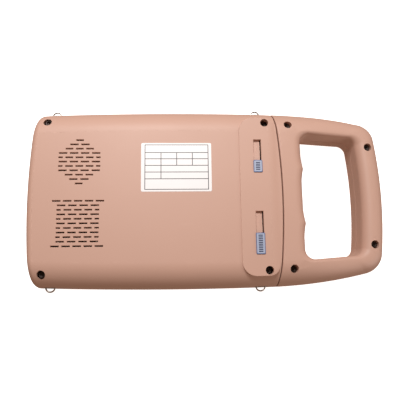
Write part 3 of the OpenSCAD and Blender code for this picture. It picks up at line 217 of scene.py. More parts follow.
def outline(off):
    """Outline of the whole scanner, drawn in by off."""
    first, last = end_corner(off), far_corner(off)
    side = [mix(first[-1][0], last[0][0], s) for s in refined(SIDE_SHARES)[1:-1]]
    return whole_loop([(end_edge(first[0][1] * s) + off, first[0][1] * s)
                       for s in refined(END_SHARES)[:-1]]
                      + first + [(x, half_w(x) - off) for x in side] + last
                      + [(far_edge(last[-1][1] * s) - off, last[-1][1] * s)
                         for s in refined(FAR_SHARES)[1:]])


def ridge(y):
    d = abs(abs(y) - RIDGE_Y) / RIDGE_HALF
    return 0 if d >= 1 else RIDGE_H * (1 - d) ** RIDGE_POWER


def hand_half(off):
    """Upper half of the hand opening, grown by off, from the palm wall to the far bar."""
    inward = pi / 2 + atan(HAND_SLOPE)
    y = HAND_W / 2 - HAND_CORNER_R
    near = corner_arc((HAND_X - off, y), pi, moved((HAND_X, HAND_W / 2), inward, off), inward,
                      HAND_CORNER_R + off, NEAR_ARC_STEPS * FINE)
    y = HAND_W_FAR / 2 - HAND_CORNER_R
    a = atan(y / FAR_BOW_R)
    far = corner_arc(moved((HAND_FAR_X, HAND_W_FAR / 2), inward, off), inward,
                     moved((far_edge(y) - FAR_BAR, y), a, off), a,
                     HAND_CORNER_R + off, FAR_ARC_STEPS * FINE)
    top = [(mix(near[-1][0], far[0][0], s), mix(near[-1][1], far[0][1], s))
           for s in refined(TOP_SHARES)[1:-1]]
    return ([(HAND_X + ridge(near[0][1] * s) - off, near[0][1] * s)
             for s in refined(PALM_SHARES)[:-1]]
            + near + top + far
            + [(far_edge(far[-1][1] * s) - FAR_BAR + off, far[-1][1] * s)
               for s in refined(FAR_SHARES)[1:]])


def cover_half(off):
    """Upper half of the handle cover's outer edge, point for point with hand_half."""
    start, y0, last = JOINT_X + JOINT_GAP / 2 + off, half_w(JOINT_X) - off, far_corner(off)
    corner_x = start - bow(y0, JOINT_BOW_R)
    bar = [mix(corner_x, last[0][0], s) for s in refined(BAR_SHARES)[1:-1]]
    return ([(start - bow(y0 * s, JOINT_BOW_R), y0 * s) for s in refined(JOINT_SHARES)[:-1]]
            + [(corner_x, half_w(corner_x) - off)] + [(x, half_w(x) - off) for x in bar] + last
            + [(far_edge(last[-1][1] * s) - off, last[-1][1] * s)
               for s in refined(FAR_SHARES)[1:]])


RAMP_L = HANDLE_L * 0.7


def handle_top(x):
    return mix(BODY_H, FAR_H, ease((x - JOINT_X) / RAMP_L))


def bar_r(x):
    return mix(SIDE_ROUND, BAR_ROUND, ease((x - JOINT_X) / RAMP_L))


def palm_r(step):
    """Radius of the opening's rear edge at a step along the handle's loop."""
    if step < BAR_STEPS:
        return mix(PALM_ROUND, BAR_EDGE, min(1, max(0, (step - PALM_STEPS) / NEAR_ARC_STEPS)))
    return mix(BAR_EDGE, FAR_EDGE, min(1, (step - BAR_STEPS) / FAR_ARC_STEPS))


def cover_line(step, outer, inner, off, outer_cuts, inner_cuts):
    """Points of the handle's rear surface along one line from its outer edge to the opening."""
    way = (inner[0] - outer[0], inner[1] - outer[1])
    span = sqrt(way[0] ** 2 + way[1] ** 2)
    on_bar = step < BAR_STEPS
    outer_r = bar_r(outer[0]) - off
    if not on_bar:
        turned = min(1, (step - BAR_STEPS) / FAR_ARC_STEPS)
        outer_r = mix(bar_r(outer[0]), FAR_ROUND, turned) - off
    inner_r = max(JOINT_ROUND, palm_r(step) - off)
    opened = (step - JOINT_STEPS + OPEN_BEFORE) / OPEN_STEPS
    reach = mix(JOINT_ROUND, outer_r, min(1, max(0, opened)))
    reach = min(reach, span - inner_r)
    places = [reach * (1 - cos(a)) for a in quarter(outer_cuts)]
    places += [span - inner_r * (1 - cos(a)) for a in reversed(quarter(inner_cuts))]
    line = []
    for d in places:
        x, y = outer[0] + way[0] * d / span, outer[1] + way[1] * d / span
        z = handle_top(x) - off - drop(span - d, inner_r)
        z -= (drop(half_w(x) - off - abs(y), bar_r(x) - off) if on_bar
              else drop(d, outer_r))
        if step < JOINT_STEPS:
            z -= drop(d, JOINT_ROUND)
        line.append((x, y, z))
    return line


def cover_net(off, outer_cuts=16, inner_cuts=10):
    """Closed band of lines over the handle's rear."""
    half = [cover_line(k / FINE, p, q, off, outer_cuts, inner_cuts)
            for k, (p, q) in enumerate(zip(cover_half(off), hand_half(off)))]
    return half + [[(x, -y, z) for x, y, z in line] for line in half[-2:0:-1]]


def body_net(off, side_cuts=22, end_cuts=12):
    """Rows of points over the body's rear, from the free end to the joint."""
    lines = [(-1, -cos(a), sin(a)) for a in quarter(side_cuts)]
    lines += [(k / FLAT_CUTS, 0, 1) for k in range(1 - FLAT_CUTS, FLAT_CUTS)]
    lines += [(1, cos(a), sin(a)) for a in reversed(quarter(side_cuts))]
    r, edge_r = SIDE_ROUND - off, max(JOINT_ROUND, END_ROUND - off)
    corner_r = max(JOINT_ROUND, CORNER_R - off)

    def row(x_of, nominal, drawn, cut):
        w = half_w(nominal) - off - drawn
        points = []
        for share, out, lift in lines:
            y = share * (w - r) + out * r
            points.append((x_of(y), y, BODY_H - off - r + (r - cut) * lift))
        return points

    net = []
    for a in quarter(end_cuts):
        d = corner_r * (1 - cos(a))
        net.append(row(lambda y: end_edge(y) + off + d, END_X + off + d, drop(d, corner_r),
                       drop(d, edge_r)))
    for k in range(1, LONG_CUTS):
        x = mix(END_X + CORNER_R, LONG_END_X, k / LONG_CUTS)
        net.append(row(lambda y: x, x, 0, 0))
    for a in reversed(quarter(JOINT_CUTS)):
        d = JOINT_ROUND * (1 - cos(a))
        net.append(row(lambda y: joint_edge(y) - JOINT_GAP / 2 - off - d, JOINT_X - off - d, 0,
                       drop(d, JOINT_ROUND)))
    return net


# Meshes

def new_piece(name, points, faces):
    """A mesh in the scene, from points in millimetres."""
    mesh = bpy.data.meshes.new(name)
    mesh.from_pydata([[c * MM for c in p] for p in points], [], faces)
    shape = bmesh.new()
    shape.from_mesh(mesh)
    bmesh.ops.recalc_face_normals(shape, faces=shape.faces)
    shape.to_mesh(mesh)
    shape.free()
    piece = bpy.data.objects.new(name, mesh)
    bpy.context.scene.collection.objects.link(piece)
    return piece


def joined(solids):
    """Points and faces of several solids as one list of each."""
    points, faces = [], []
    for some, round_them in solids:
        start = len(points)
        points += some
        faces += [[start + k for k in face] for face in round_them]
    return points, faces


def skirt(points, faces, rim, rings):
    """Walls from a rim of point numbers through rings of new points. Returns the last ring."""
    for ring in rings:
        start = len(points)
        points += ring
        below = list(range(start, start + len(ring)))
        n = len(rim)
        faces += [[rim[k], rim[(k + 1) % n], below[(k + 1) % n], below[k]] for k in range(n)]
        rim = below
    return rim


def field(net, drawn_in, low, chamfer):
    """Solid under a net of points, with a chamfer round its foot."""
    rows, cols = len(net), len(net[0])
    points = [p for row in net for p in row]
    faces = [[i * cols + j, (i + 1) * cols + j, (i + 1) * cols + j + 1, i * cols + j + 1]
             for i in range(rows - 1) for j in range(cols - 1)]
    rim = ([(0, j) for j in range(cols)] + [(i, cols - 1) for i in range(1, rows)]
           + [(rows - 1, j) for j in range(cols - 2, -1, -1)]
           + [(i, 0) for i in range(rows - 2, 0, -1)])
    rings = [[net[i][j][:2] + (low + chamfer,) for i, j in rim],
             [drawn_in[i][j][:2] + (low,) for i, j in rim]]
    faces.append(skirt(points, faces, [i * cols + j for i, j in rim], rings))
    return points, faces


def band(net, drawn_in, low, chamfer):
    """Solid under a closed band of lines, with a chamfer round its foot."""
    n, cols = len(net), len(net[0])
    points = [p for line in net for p in line]
    faces = [[i * cols + j, (i + 1) % n * cols + j, (i + 1) % n * cols + j + 1, i * cols + j + 1]
             for i in range(n) for j in range(cols - 1)]
    feet = [skirt(points, faces, [i * cols + j for i in range(n)],
                  [[line[j][:2] + (low + chamfer,) for line in net],
                   [line[j][:2] + (low,) for line in drawn_in]]) for j in (0, cols - 1)]
    faces += [[feet[0][k], feet[0][(k + 1) % n], feet[1][(k + 1) % n], feet[1][k]]
              for k in range(n)]
    return points, faces


def stack(loops):
    """Solid through (loop, level) pairs from low to high."""
    points, faces = [], []
    rings = [[(x, y, z) for x, y in loop] for loop, z in loops]
    points += rings[0]
    rim = list(range(len(points)))
    faces.append(rim)
    faces.append(skirt(points, faces, rim, rings[1:]))
    return points, faces


def prism(plan, low, high):
    return stack([(plan, low), (plan, high)])


def circle(r, cuts=48):
    return [(r * cos(2 * pi * k / cuts), r * sin(2 * pi * k / cuts)) for k in range(cuts)]


def hexagon(r, cuts=48):
    """A hexagon with as many points as circle, so that one can run into the other."""
    points = []
    for k in range(cuts):
        a = 2 * pi * k / cuts
        reach = r * cos(pi / 6) / cos(a % (pi / 3) - pi / 6)
        points.append((reach * cos(a), reach * sin(a)))
    return points


def rounded(l, w, r, cuts=6):
    """Rectangle of length l and width w with corners of radius r."""
    points = []
    for k, (sx, sy) in enumerate(((1, 1), (-1, 1), (-1, -1), (1, -1))):
        for a in quarter(cuts):
            points.append((sx * (l / 2 - r) + r * cos(a + k * pi / 2),
                           sy * (w / 2 - r) + r * sin(a + k * pi / 2)))
    return points


def shifted(solid, x=0, y=0, z=0):
    points, faces = solid
    return [(p[0] + x, p[1] + y, p[2] + z) for p in points], faces


def soft_block(l, w, low, high, plan_r, low_r=0, high_r=0, cuts=4):
    """Block with rounded corners in plan and rounded lower and upper edges."""
    steps = [(0, low)]
    if low_r:
        steps = [(low_r * (1 - sin(a)), low + low_r * (1 - cos(a))) for a in quarter(cuts)]
    if high_r:
        steps += [(high_r * (1 - cos(a)), high - high_r * (1 - sin(a))) for a in quarter(cuts)]
    else:
        steps.append((0, high))
    return stack([(rounded(l - 2 * inset, w - 2 * inset, max(0.05, plan_r - inset)), z)
                  for inset, z in steps])


def tube(path, radius, cuts=14):
    """Round wire along a path in one level plane."""
    points, faces = [], []
    up = Vector((0, 0, 1))
    for k, p in enumerate(path):
        before, after = path[max(0, k - 1)], path[min(len(path) - 1, k + 1)]
        side = (Vector(after) - Vector(before)).normalized().cross(up)
        for j in range(cuts):
            a = 2 * pi * j / cuts
            points.append(tuple(Vector(p) + side * (radius * cos(a)) + up * (radius * sin(a))))
    for k in range(len(path) - 1):
        faces += [[k * cuts + j, k * cuts + (j + 1) % cuts, (k + 1) * cuts + (j + 1) % cuts,
                   (k + 1) * cuts + j] for j in range(cuts)]
    faces += [list(range(cuts)), list(range(len(points) - cuts, len(points)))]
    return points, faces


def combine(piece, solid, operation="DIFFERENCE"):
    """Cuts a solid from a piece, or joins it on."""
    tool = new_piece(piece.name + "_tool", *solid)
    step = piece.modifiers.new("cut", "BOOLEAN")
    step.operation, step.solver, step.object = operation, "EXACT", tool
    bpy.context.view_layer.update()
    graph = bpy.context.evaluated_depsgraph_get()
    shape = bpy.data.meshes.new_from_object(piece.evaluated_get(graph))
    piece.modifiers.clear()
    piece.data = shape
    bpy.data.objects.remove(tool)


def smooth(piece, sharp_over=38):
    """Smooth shading that keeps the real edges, with the flat faces left flat."""
    piece.data.polygons.foreach_set("use_smooth", [True] * len(piece.data.polygons))
    piece.data.set_sharp_from_angle(angle=radians(sharp_over))
    weights = piece.modifiers.new("flat_faces", "WEIGHTED_NORMAL")
    weights.keep_sharp = True


def fitted(piece, finish, body="scanner", replaces=()):
    """Smooths a piece, gives it its finish and hands it to the frame."""
    smooth(piece)
    piece.data.materials.clear()
    piece.data.materials.append(finish)
    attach(piece, body)
    if replaces:
        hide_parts(*replaces)


# Finishes

class Shade:
    """One socket of a finish. Arithmetic on it adds Math nodes."""

    def __init__(self, tree, socket):
        self.tree, self.socket = tree, socket

    def math(self, operation, *values):
        node = self.tree.nodes.new("ShaderNodeMath")
        node.operation = operation
        for entry, value in zip(node.inputs, values):
            wire(self.tree, entry, value)
        return Shade(self.tree, node.outputs[0])

    def __add__(self, other):
        return self.math("ADD", self, other)

    def __sub__(self, other):
        return self.math("SUBTRACT", self, other)

    def __mul__(self, other):
        return self.math("MULTIPLY", self, other)

    def __rsub__(self, other):
        return self.math("SUBTRACT", other, self)

    __radd__ = __add__
    __rmul__ = __mul__

    def near(self, place, reach):
        """1 within reach of place, 0 elsewhere."""
        return self.math("COMPARE", self, place, reach)

    def most(self, other):
        return self.math("MAXIMUM", self, other)

    def clipped(self):
        return self.math("MINIMUM", self.math("MAXIMUM", self, 0), 1)


def wire(tree, entry, value):
    if isinstance(value, Shade):
        tree.links.new(value.socket, entry)
    else:
        entry.default_value = value


def colour(red, green, blue):
    """A colour from its values on a screen, 0 to 255."""
    return tuple(((c / 255 + 0.055) / 1.055) ** 2.4 if c > 10 else c / 255 / 12.92
                 for c in (red, green, blue)) + (1,)


class Finish:
    """A material under construction."""

    def __init__(self, name):
        self.material = bpy.data.materials.new(name)
        self.material.use_nodes = True
        self.tree = self.material.node_tree
        self.surface = self.tree.nodes["Principled BSDF"]
        self.place = self.node("TexCoord", output="Object")

    def node(self, kind, values=None, output=0, **settings):
        node = self.tree.nodes.new("ShaderNode" + kind)
        for key, value in settings.items():
            setattr(node, key, value)
        for key, value in (values or {}).items():
            wire(self.tree, node.inputs[key], value)
        return Shade(self.tree, node.outputs[output])

    def axes(self):
        """The place's X, Y and Z, in millimetres."""
        node = self.tree.nodes.new("ShaderNodeSeparateXYZ")
        wire(self.tree, node.inputs[0], self.place)
        return [Shade(self.tree, entry) * (1 / MM) for entry in node.outputs]

    def noise(self, size, detail=2, roughness=0.5):
        """Noise from 0 to 1 whose lumps are size millimetres across."""
        return self.node("TexNoise", {"Vector": self.place, "Scale": 1 / (size * MM),
                                      "Detail": detail, "Roughness": roughness})

    def stretched(self, x, y, z):
        """The place, stretched along each axis, for grain that runs one way."""
        return self.node("Mapping", {"Vector": self.place, "Scale": (x, y, z)})

    def blend(self, share, first, second):
        return self.node("Mix", {0: share, 6: first, 7: second}, output=2, data_type="RGBA")

    def bump(self, height, depth):
        """Relief of depth millimetres."""
        return self.node("Bump", {"Height": height, "Distance": depth * MM, "Strength": 1})

    def give(self, **sockets):
        for key, value in sockets.items():
            wire(self.tree, self.surface.inputs[key.replace("_", " ")], value)
        return self.material


def moulded(name, tone, shade, roughness=0.5, grain=0.35, depth=0.012):
    """Moulded plastic or silicone: a slow drift of colour over a fine spark-eroded grain."""
    finish = Finish(name)
    drift = finish.noise(60, 3)
    grains = finish.noise(grain, 2, 0.6)
    return finish.give(Base_Color=finish.blend(drift, tone, shade),
                       Roughness=roughness - 0.05 + drift * 0.08 + grains * 0.04,
                       Normal=finish.bump(grains, depth))


def shell_plastic():
    """Rose-beige moulded shell with faint scuffs."""
    finish = Finish("shell_plastic")
    drift = finish.noise(70, 3)
    grains = finish.noise(0.4, 3, 0.6)
    scuffs = (finish.node("TexNoise", {"Vector": finish.stretched(9, 55, 30), "Scale": 3.0,
                                       "Detail": 5}) - 0.66) * 6
    tone = finish.blend(drift, colour(208, 169, 152), colour(202, 164, 147))
    worn = finish.blend(scuffs.clipped() * 0.12, tone, colour(222, 190, 173))
    return finish.give(Base_Color=worn,
                       Roughness=0.43 + drift * 0.1 + grains * 0.05,
                       Normal=finish.bump(grains, 0.014))


def metal(name, tone, roughness=0.3, run=(1, 1, 1), spread=0.12):
    """Metal with a fine grain that runs along the axis with the smallest stretch."""
    finish = Finish(name)
    lines = finish.node("TexNoise", {"Vector": finish.stretched(*run), "Scale": 2500.0,
                                     "Detail": 2})
    stain = finish.noise(6, 2)
    dull = tuple(c * 0.7 for c in tone[:3]) + (1,)
    return finish.give(Base_Color=finish.blend(stain * 0.35, tone, dull),
                       Metallic=1.0, Roughness=roughness + (lines - 0.5) * spread + stain * 0.06,
                       Normal=finish.bump(lines, 0.004))


def label_film():
    """White rating label with a bare ruled table."""
    finish = Finish("label_film")
    low, high = packed("rating_label")
    x, y = finish.axes()[:2]
    left, top = x - low.x, high.y - y
    sides = (3.3, 16.9, 30.3, 43.7, 57.2)
    rows = (1.7, 8.5, 14.0, 19.8, 25.6, 31.5, 40.6)
    # Each upright rule's side, and the rows where it starts and ends
    uprights = ((0, 0, 6), (4, 0, 6), (1, 1, 5), (2, 1, 3), (3, 1, 3))
    line = 0.3
    ruled = 0 * left

    def rule(along, start, end, across, at):
        return along.near((start + end) / 2, (end - start) / 2 + line) * across.near(at, line)

    for row in rows:
        ruled = ruled.most(rule(left, sides[0], sides[-1], top, row))
    for side, first, last in uprights:
        ruled = ruled.most(rule(top, rows[first], rows[last], left, sides[side]))
    fibre, cloud = finish.noise(0.5, 2), finish.noise(12)
    paper = finish.blend(cloud, colour(250, 250, 251), colour(243, 244, 247))
    return finish.give(Base_Color=finish.blend(ruled, paper, colour(30, 30, 35)),
                       Roughness=0.32 + fibre * 0.08, Normal=finish.bump(fibre, 0.004))


def window_glass():
    """Dark polished window: the picture area shows as a slightly bluer rectangle."""
    finish = Finish("window_glass")
    low, high = packed("display_window")
    x, y = finish.axes()[:2]
    middle = (low + high) / 2
    border = 9
    picture = (x.near(middle.x, (high.x - low.x) / 2 - border)
               * y.near(middle.y, (high.y - low.y) / 2 - border))
    smear = finish.noise(25, 4)
    return finish.give(Base_Color=finish.blend(picture, colour(14, 15, 17), colour(30, 36, 42)),
                       Roughness=0.06 + smear * 0.07, IOR=1.5,
                       Coat_Weight=1.0, Coat_Roughness=0.04)


def circuit_board():
    """Green lacquered board with faint copper tracks under the lacquer."""
    finish = Finish("circuit_board")
    cells = finish.node("TexVoronoi", {"Vector": finish.place, "Scale": 180.0}, feature="F1",
                        distance="CHEBYCHEV")
    tracks = cells.near(0.32, 0.05)
    lacquer = finish.blend(tracks * 0.7, colour(18, 84, 54), colour(60, 132, 84))
    return finish.give(Base_Color=lacquer,
                       Roughness=0.28 + finish.noise(2) * 0.1, Normal=finish.bump(tracks, 0.02))


def battery_wrap():
    """Blue shrink wrap with slight wrinkles."""
    finish = Finish("battery_wrap")
    folds = finish.node("TexNoise", {"Vector": finish.stretched(1, 4, 4), "Scale": 120.0,
                                     "Detail": 3})
    return finish.give(Base_Color=finish.blend(folds, colour(28, 58, 128), colour(36, 72, 150)),
                       Roughness=0.25 + folds * 0.1, Normal=finish.bump(folds, 0.2))


def foam(name, tone, shade):
    """Open-celled foam."""
    finish = Finish(name)
    cells = finish.node("TexVoronoi", {"Vector": finish.place, "Scale": 1400.0})
    return finish.give(Base_Color=finish.blend(cells, tone, shade), Roughness=0.9 + cells * 0.05,
                       Normal=finish.bump(cells, 0.15))


def floor_paper():
    """Plain pale studio floor, clear when it is seen from below."""
    finish = Finish("floor_paper")
    tooth = finish.noise(1.2, 2)
    tone = finish.blend(tooth, colour(246, 246, 246), colour(250, 250, 250))
    paper = finish.give(Base_Color=tone,
                        Roughness=0.85 + tooth * 0.05, Emission_Color=(1, 1, 1, 1),
                        Emission_Strength=FLOOR_GLOW)
    one_sided = finish.node("MixShader", {0: finish.node("NewGeometry", output="Backfacing"),
                                          1: Shade(finish.tree, finish.surface.outputs[0]),
                                          2: finish.node("BsdfTransparent")})
    surface = finish.tree.nodes["Material Output"].inputs["Surface"]
    finish.tree.links.new(one_sided.socket, surface)
    return paper


FLOOR_GLOW = 0.92
SHELL = shell_plastic()
LABEL = label_film()
WINDOW = window_glass()
# The screws' dark steel is darkened further as painted shade, standing in for the shade at the
# bottom of their deep pockets.
SCREW = metal("dark_steel_with_painted_shade", colour(58, 50, 47), 0.42)
WIRE = metal("drawn_wire", colour(186, 180, 172), 0.24, (1, 1, 0.1))
NICKEL = metal("nickel_plate", colour(196, 195, 192), 0.2)
ZINC = metal("zinc_plate", colour(190, 190, 192), 0.3)
TIN = metal("tinned_sheet", colour(205, 206, 208), 0.32, (0.1, 1, 1))
ALUMINIUM = metal("mill_aluminium", colour(208, 210, 212), 0.35, (0.1, 1, 1))
BRASS = metal("turned_brass", colour(200, 168, 96), 0.28)
KNOB = moulded("knob_plastic", colour(176, 187, 210), colour(164, 177, 202), 0.4)
KNOB_EDGE = moulded("knob_edge_plastic", colour(92, 108, 156), colour(82, 98, 146), 0.42)
KNOB_MARK = moulded("knob_mark_plastic", colour(22, 34, 78), colour(18, 28, 66), 0.45)
KEYS = moulded("key_silicone", colour(214, 214, 210), colour(206, 206, 203), 0.62, 0.25)
POWER = moulded("power_silicone", colour(196, 84, 62), colour(186, 74, 54), 0.6, 0.25)
MAT = moulded("mat_silicone", colour(206, 208, 208), colour(196, 198, 199), 0.6)
BLACK = moulded("black_plastic", colour(34, 34, 36), colour(28, 28, 30), 0.5)
ROTOR = moulded("rotor_plastic", colour(50, 50, 54), colour(42, 42, 46), 0.45)
PANEL = moulded("panel_plastic", colour(92, 94, 98), colour(84, 86, 90), 0.4)
FILM = moulded("cable_film", colour(196, 128, 52), colour(184, 116, 44), 0.3, 1.5)
BOARD = circuit_board()
WRAP = battery_wrap()
FOAM = foam("foam_strip", colour(52, 52, 54), colour(34, 34, 36))
GASKET = foam("gasket_foam", colour(30, 30, 31), colour(20, 20, 21))


# Shells

GRILLE_X = END_X + 43.25
SPEAKER_Y, FAN_Y = 29.2, -23.4
ROW_PITCH, SLIT_W = 3.78, 1.2
SLIT_PITCH, ODD_SLIT_PITCH, FULL_SLIT_PITCH = 9.25, 8.6, 9
SLIT_L, ODD_SLIT_L, SHORT_SLIT_L, SHORT_SLIT_OUT = 6.9, 6.3, 3.6, 0.3
ROUND_COUNTS = (1, 2, 3, 4, 5, 4, 5, 4, 3, 2, 1)
SQUARE_COUNTS = (6, 4, 5, 4, 5, 4, 5, 4, 5, 4, 6)

POCKET_R = 3.5
BODY_SEAT, HANDLE_SEAT = BODY_H - 8, FAR_H - 5.5
BODY_SCREWS = [(x, s * y) for x, y in ((END_X + 14.5, 65), (JOINT_X - 14, 63.7))
               for s in (-1, 1)]
HANDLE_SCREWS = [(x, s * y) for x, y in ((JOINT_X + 7.3, 62.75), (FAR_X - 12, 43))
                 for s in (-1, 1)]

PAD_FAR_X, PAD_L, PAD_W = JOINT_X - 5, 31.6, 137
PAD_CORNER_R, PAD_NEAR_CORNER_R = 12, 9
PAD_EDGE = 0.4
PAD_SLOPE_L, PAD_ROOT, PAD_CUTS = 6, 6.2, 8

SLOT_X, SLOT_W = JOINT_X - 20.85, 6.5
SLOT_DEEP, SLOT_SHALLOW = 2.2, 0.8
TRAVEL = 18.4
STEM_W, STEM_L, STEM_FROM_TOP = 0.8, 5, 1.2
SLOT_END_L, SLOT_END_DEEP = 1.9, 2.8
SLIT_CLEAR = 0.1
STEM_X = SLOT_X + SLOT_W / 2 - STEM_W / 2 - SLIT_CLEAR

LOOP_X = (END_X + 18.5, JOINT_X - 19)
LOOP_Z, LOOP_R, WIRE_R, LOOP_BAR_R, LOOP_CUTS = 21.2, 3.9, 0.65, 0.55, 32
HINGE_DEPTH, LUG_DEPTH, LOOP_POCKET_H = 1.1, 3.4, 6.8
LOOP_POCKET_L = 2 * (LOOP_R + WIRE_R + 0.5)

PROBE_Z, PROBE_R, PROBE_BORE_R, PROBE_DEPTH = 26, 7.4, 6, 8
PORT_Z, PORT_CLEAR = 20, 0.15
JACK_Y, JACK_W, JACK_H = -30, 9, 11
USB_Y, USB_W, USB_H = -48, 9, 4.2

DISPLAY_X, VIEW_L, VIEW_W, LEDGE = END_X + 89, 143, 108, 2.5
WINDOW_RECESS = 2
KEYPAD_X, KEYPAD_L, KEYPAD_W, KEYPAD_RECESS, KEYPAD_R = JOINT_X - 25, 36, 116, 1.2, 5
KEY_L, KEY_W, KEY_GAP = 13, 11, 0.2
POWER_Y, POWER_R = 42, 6.5
KEY_FACE, FLANGE_Z, FLANGE_T = 0.5, 3.2, 1


def pad_plan(off, near=0):
    """Pad's outline, drawn in by off, and by near more on the side towards the handle."""
    left, right, half = PAD_FAR_X - PAD_L, PAD_FAR_X - near, PAD_W / 2
    corners = ((right, half, PAD_NEAR_CORNER_R), (left, half, PAD_CORNER_R),
               (left, -half, PAD_CORNER_R), (right, -half, PAD_NEAR_CORNER_R))
    points = []
    for k, (x, y, r) in enumerate(corners):
        cx = x - r if x == right else x + r
        cy = y - r if y > 0 else y + r
        points += [moved((cx, cy), a + k * pi / 2, r - off) for a in quarter(10)]
    return points


def flared_box(x, y, l, w, low, face):
    """Cutter for a slit: straight, then opened by a chamfer at the face."""
    wide = 2 * CUT_CHAMFER
    slit, mouth = rounded(l, w, 0.2, 2), rounded(l + wide, w + wide, 0.3, 2)
    return shifted(stack([(slit, low), (slit, face - CUT_CHAMFER), (mouth, face),
                          (mouth, face + PAST)]), x, y)


def grille(y, counts):
    """Cutters of one grille. A row of 5 has a short slit at each end, one of 6 has five whole."""
    slits = []
    for row, count in enumerate(counts):
        at = y + ((len(counts) - 1) / 2 - row) * ROW_PITCH
        whole = {6: 5, 5: 3}.get(count, count)
        pitch, l = (ODD_SLIT_PITCH, ODD_SLIT_L) if count % 2 else (SLIT_PITCH, SLIT_L)
        if count == 6:
            pitch = FULL_SLIT_PITCH
        places = [((k - (whole - 1) / 2) * pitch, l) for k in range(whole)]
        if count == 5:
            outer_x = SLIT_PITCH * 1.5 + (SLIT_L - SHORT_SLIT_L) / 2 + SHORT_SLIT_OUT
            places += [(-outer_x, SHORT_SLIT_L), (outer_x, SHORT_SLIT_L)]
        for x, length in places:
            slits.append(flared_box(GRILLE_X + x, at, length, SLIT_W, BODY_H - WALL - PAST,
                                    BODY_H))
    return slits


def slot_wedge(y, knob_l):
    """Cutter of a slide control's slot, deeper towards its upper end, with a chamfered mouth."""
    l, half = knob_l + TRAVEL, SLOT_W / 2
    low_end, high_end = (0, SLOT_SHALLOW), (l, SLOT_DEEP)
    corners = ((-1, low_end), (1, low_end), (1, high_end), (-1, high_end))
    points = []
    for inset, lift in ((0, None), (0, -CUT_CHAMFER), (-CUT_CHAMFER, 0), (-CUT_CHAMFER, PAST)):
        for sx, (along, deep) in corners:
            out = -inset if along else inset
            z = PAD_Z - deep if lift is None else PAD_Z + lift
            points.append((SLOT_X + sx * (half - inset), y + along + out, z))
    faces = [[0, 1, 2, 3], [12, 13, 14, 15]]
    for start in range(0, 12, 4):
        faces += [[start + k, start + (k + 1) % 4, start + 4 + (k + 1) % 4, start + 4 + k]
                  for k in range(4)]
    return points, faces


def stem_slit(y, knob_l):
    """Cutter for the slit that a knob's stem runs in, up to the slot's upper end."""
    start = y + knob_l - STEM_FROM_TOP - STEM_L - 0.3
    l = y + knob_l + TRAVEL - start
    return shifted(prism(rounded(STEM_W + 2 * SLIT_CLEAR, l, 0.1, 2), BODY_H - WALL - PAST,
                         PAD_Z + PAST), STEM_X, start + l / 2)


def slot_end(y, knob_l):
    """Cutter for the deeper upper end of a slot."""
    plan = rounded(SLOT_W - 0.04, SLOT_END_L, 0.1, 2)
    return shifted(prism(plan, PAD_Z - SLOT_END_DEEP, PAD_Z + PAST), SLOT_X,
                   y + knob_l + TRAVEL - 0.02 - SLOT_END_L / 2)


def across_x(solid, x, y, z):
    """A solid made along Z, turned to point along +X from a place."""
    points, faces = solid
    return [(x + p[2], y + p[1], z - p[0]) for p in points], faces


def screw_pockets(shell, places, seat):
    combine(shell, joined([shifted(prism(circle(POCKET_R), seat, BODY_H + 3), x, y)
                           for x, y in places]))


def rear_shell():
    """Rear cover of the body: dome, raised pad, pockets, grilles, slots and ports."""
    shell = new_piece("rear_shell", *field(body_net(0), body_net(SEAM_CHAMFER), SEAM_Z,
                                           SEAM_CHAMFER))
    pad = [(pad_plan(0), PAD_Z - PAD_ROOT)]
    for k in range(PAD_CUTS + 1):
        share = k / PAD_CUTS
        below = (PAD_Z - BODY_H) * (1 - share) ** 2
        pad.append((pad_plan(drop(below, PAD_EDGE), PAD_SLOPE_L * share), PAD_Z - below))
    combine(shell, stack(pad), "UNION")
    inside = body_net(WALL, 8, 5)
    combine(shell, field(inside, inside, SEAM_Z - PAST, PAST / 2))
    screw_pockets(shell, BODY_SCREWS, BODY_SEAT)
    combine(shell, joined(grille(SPEAKER_Y, ROUND_COUNTS) + grille(FAN_Y, SQUARE_COUNTS)))
    controls = []
    for node in ("upper_slider", "lower_slider"):
        low, high = packed(node)
        controls.append((low.y, high.y - low.y))
    for cutter in (slot_wedge, stem_slit, slot_end):
        combine(shell, joined([cutter(y, l) for y, l in controls]))
    pockets = []
    for x in LOOP_X:
        for s in (-1, 1):
            pocket = soft_block(LOOP_POCKET_L, LUG_DEPTH + 2 * PAST, LOOP_Z - LOOP_POCKET_H / 2,
                                LOOP_Z + LOOP_POCKET_H / 2, 0.6)
            pockets.append(shifted(pocket, x, s * (half_w(x) - LUG_DEPTH / 2 + PAST)))
    combine(shell, joined(pockets))
    ports = [across_x(prism(circle(PROBE_R + PORT_CLEAR), -PAST, WALL + 2), END_X, 0,
                      PROBE_Z)]
    for y, w, h in ((JACK_Y, JACK_W, JACK_H), (USB_Y, USB_W, USB_H)):
        tall = h + 2 * PORT_CLEAR
        mouth = rounded(tall, w + 2 * PORT_CLEAR, 0.8)
        ports.append(across_x(prism(mouth, -PAST, WALL + 3), END_X, y, PORT_Z + tall / 2))
    combine(shell, joined(ports))
    fitted(shell, SHELL, replaces=["rear_cover"])


def handle_shell():
    """Rear cover of the handle, with its screw pockets."""
    shell = new_piece("handle_shell", *band(cover_net(0), cover_net(SEAM_CHAMFER), SEAM_Z,
                                            SEAM_CHAMFER))
    screw_pockets(shell, HANDLE_SCREWS, HANDLE_SEAT)
    fitted(shell, SHELL, replaces=["handle_cover"])


def key_places():
    """Each key's name and place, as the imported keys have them."""
    places = []
    for k in range(1, 9):
        middle = sum(packed("key_%d" % k), Vector()) / 2
        places.append(("key_%d" % k, middle.x, middle.y))
    return places


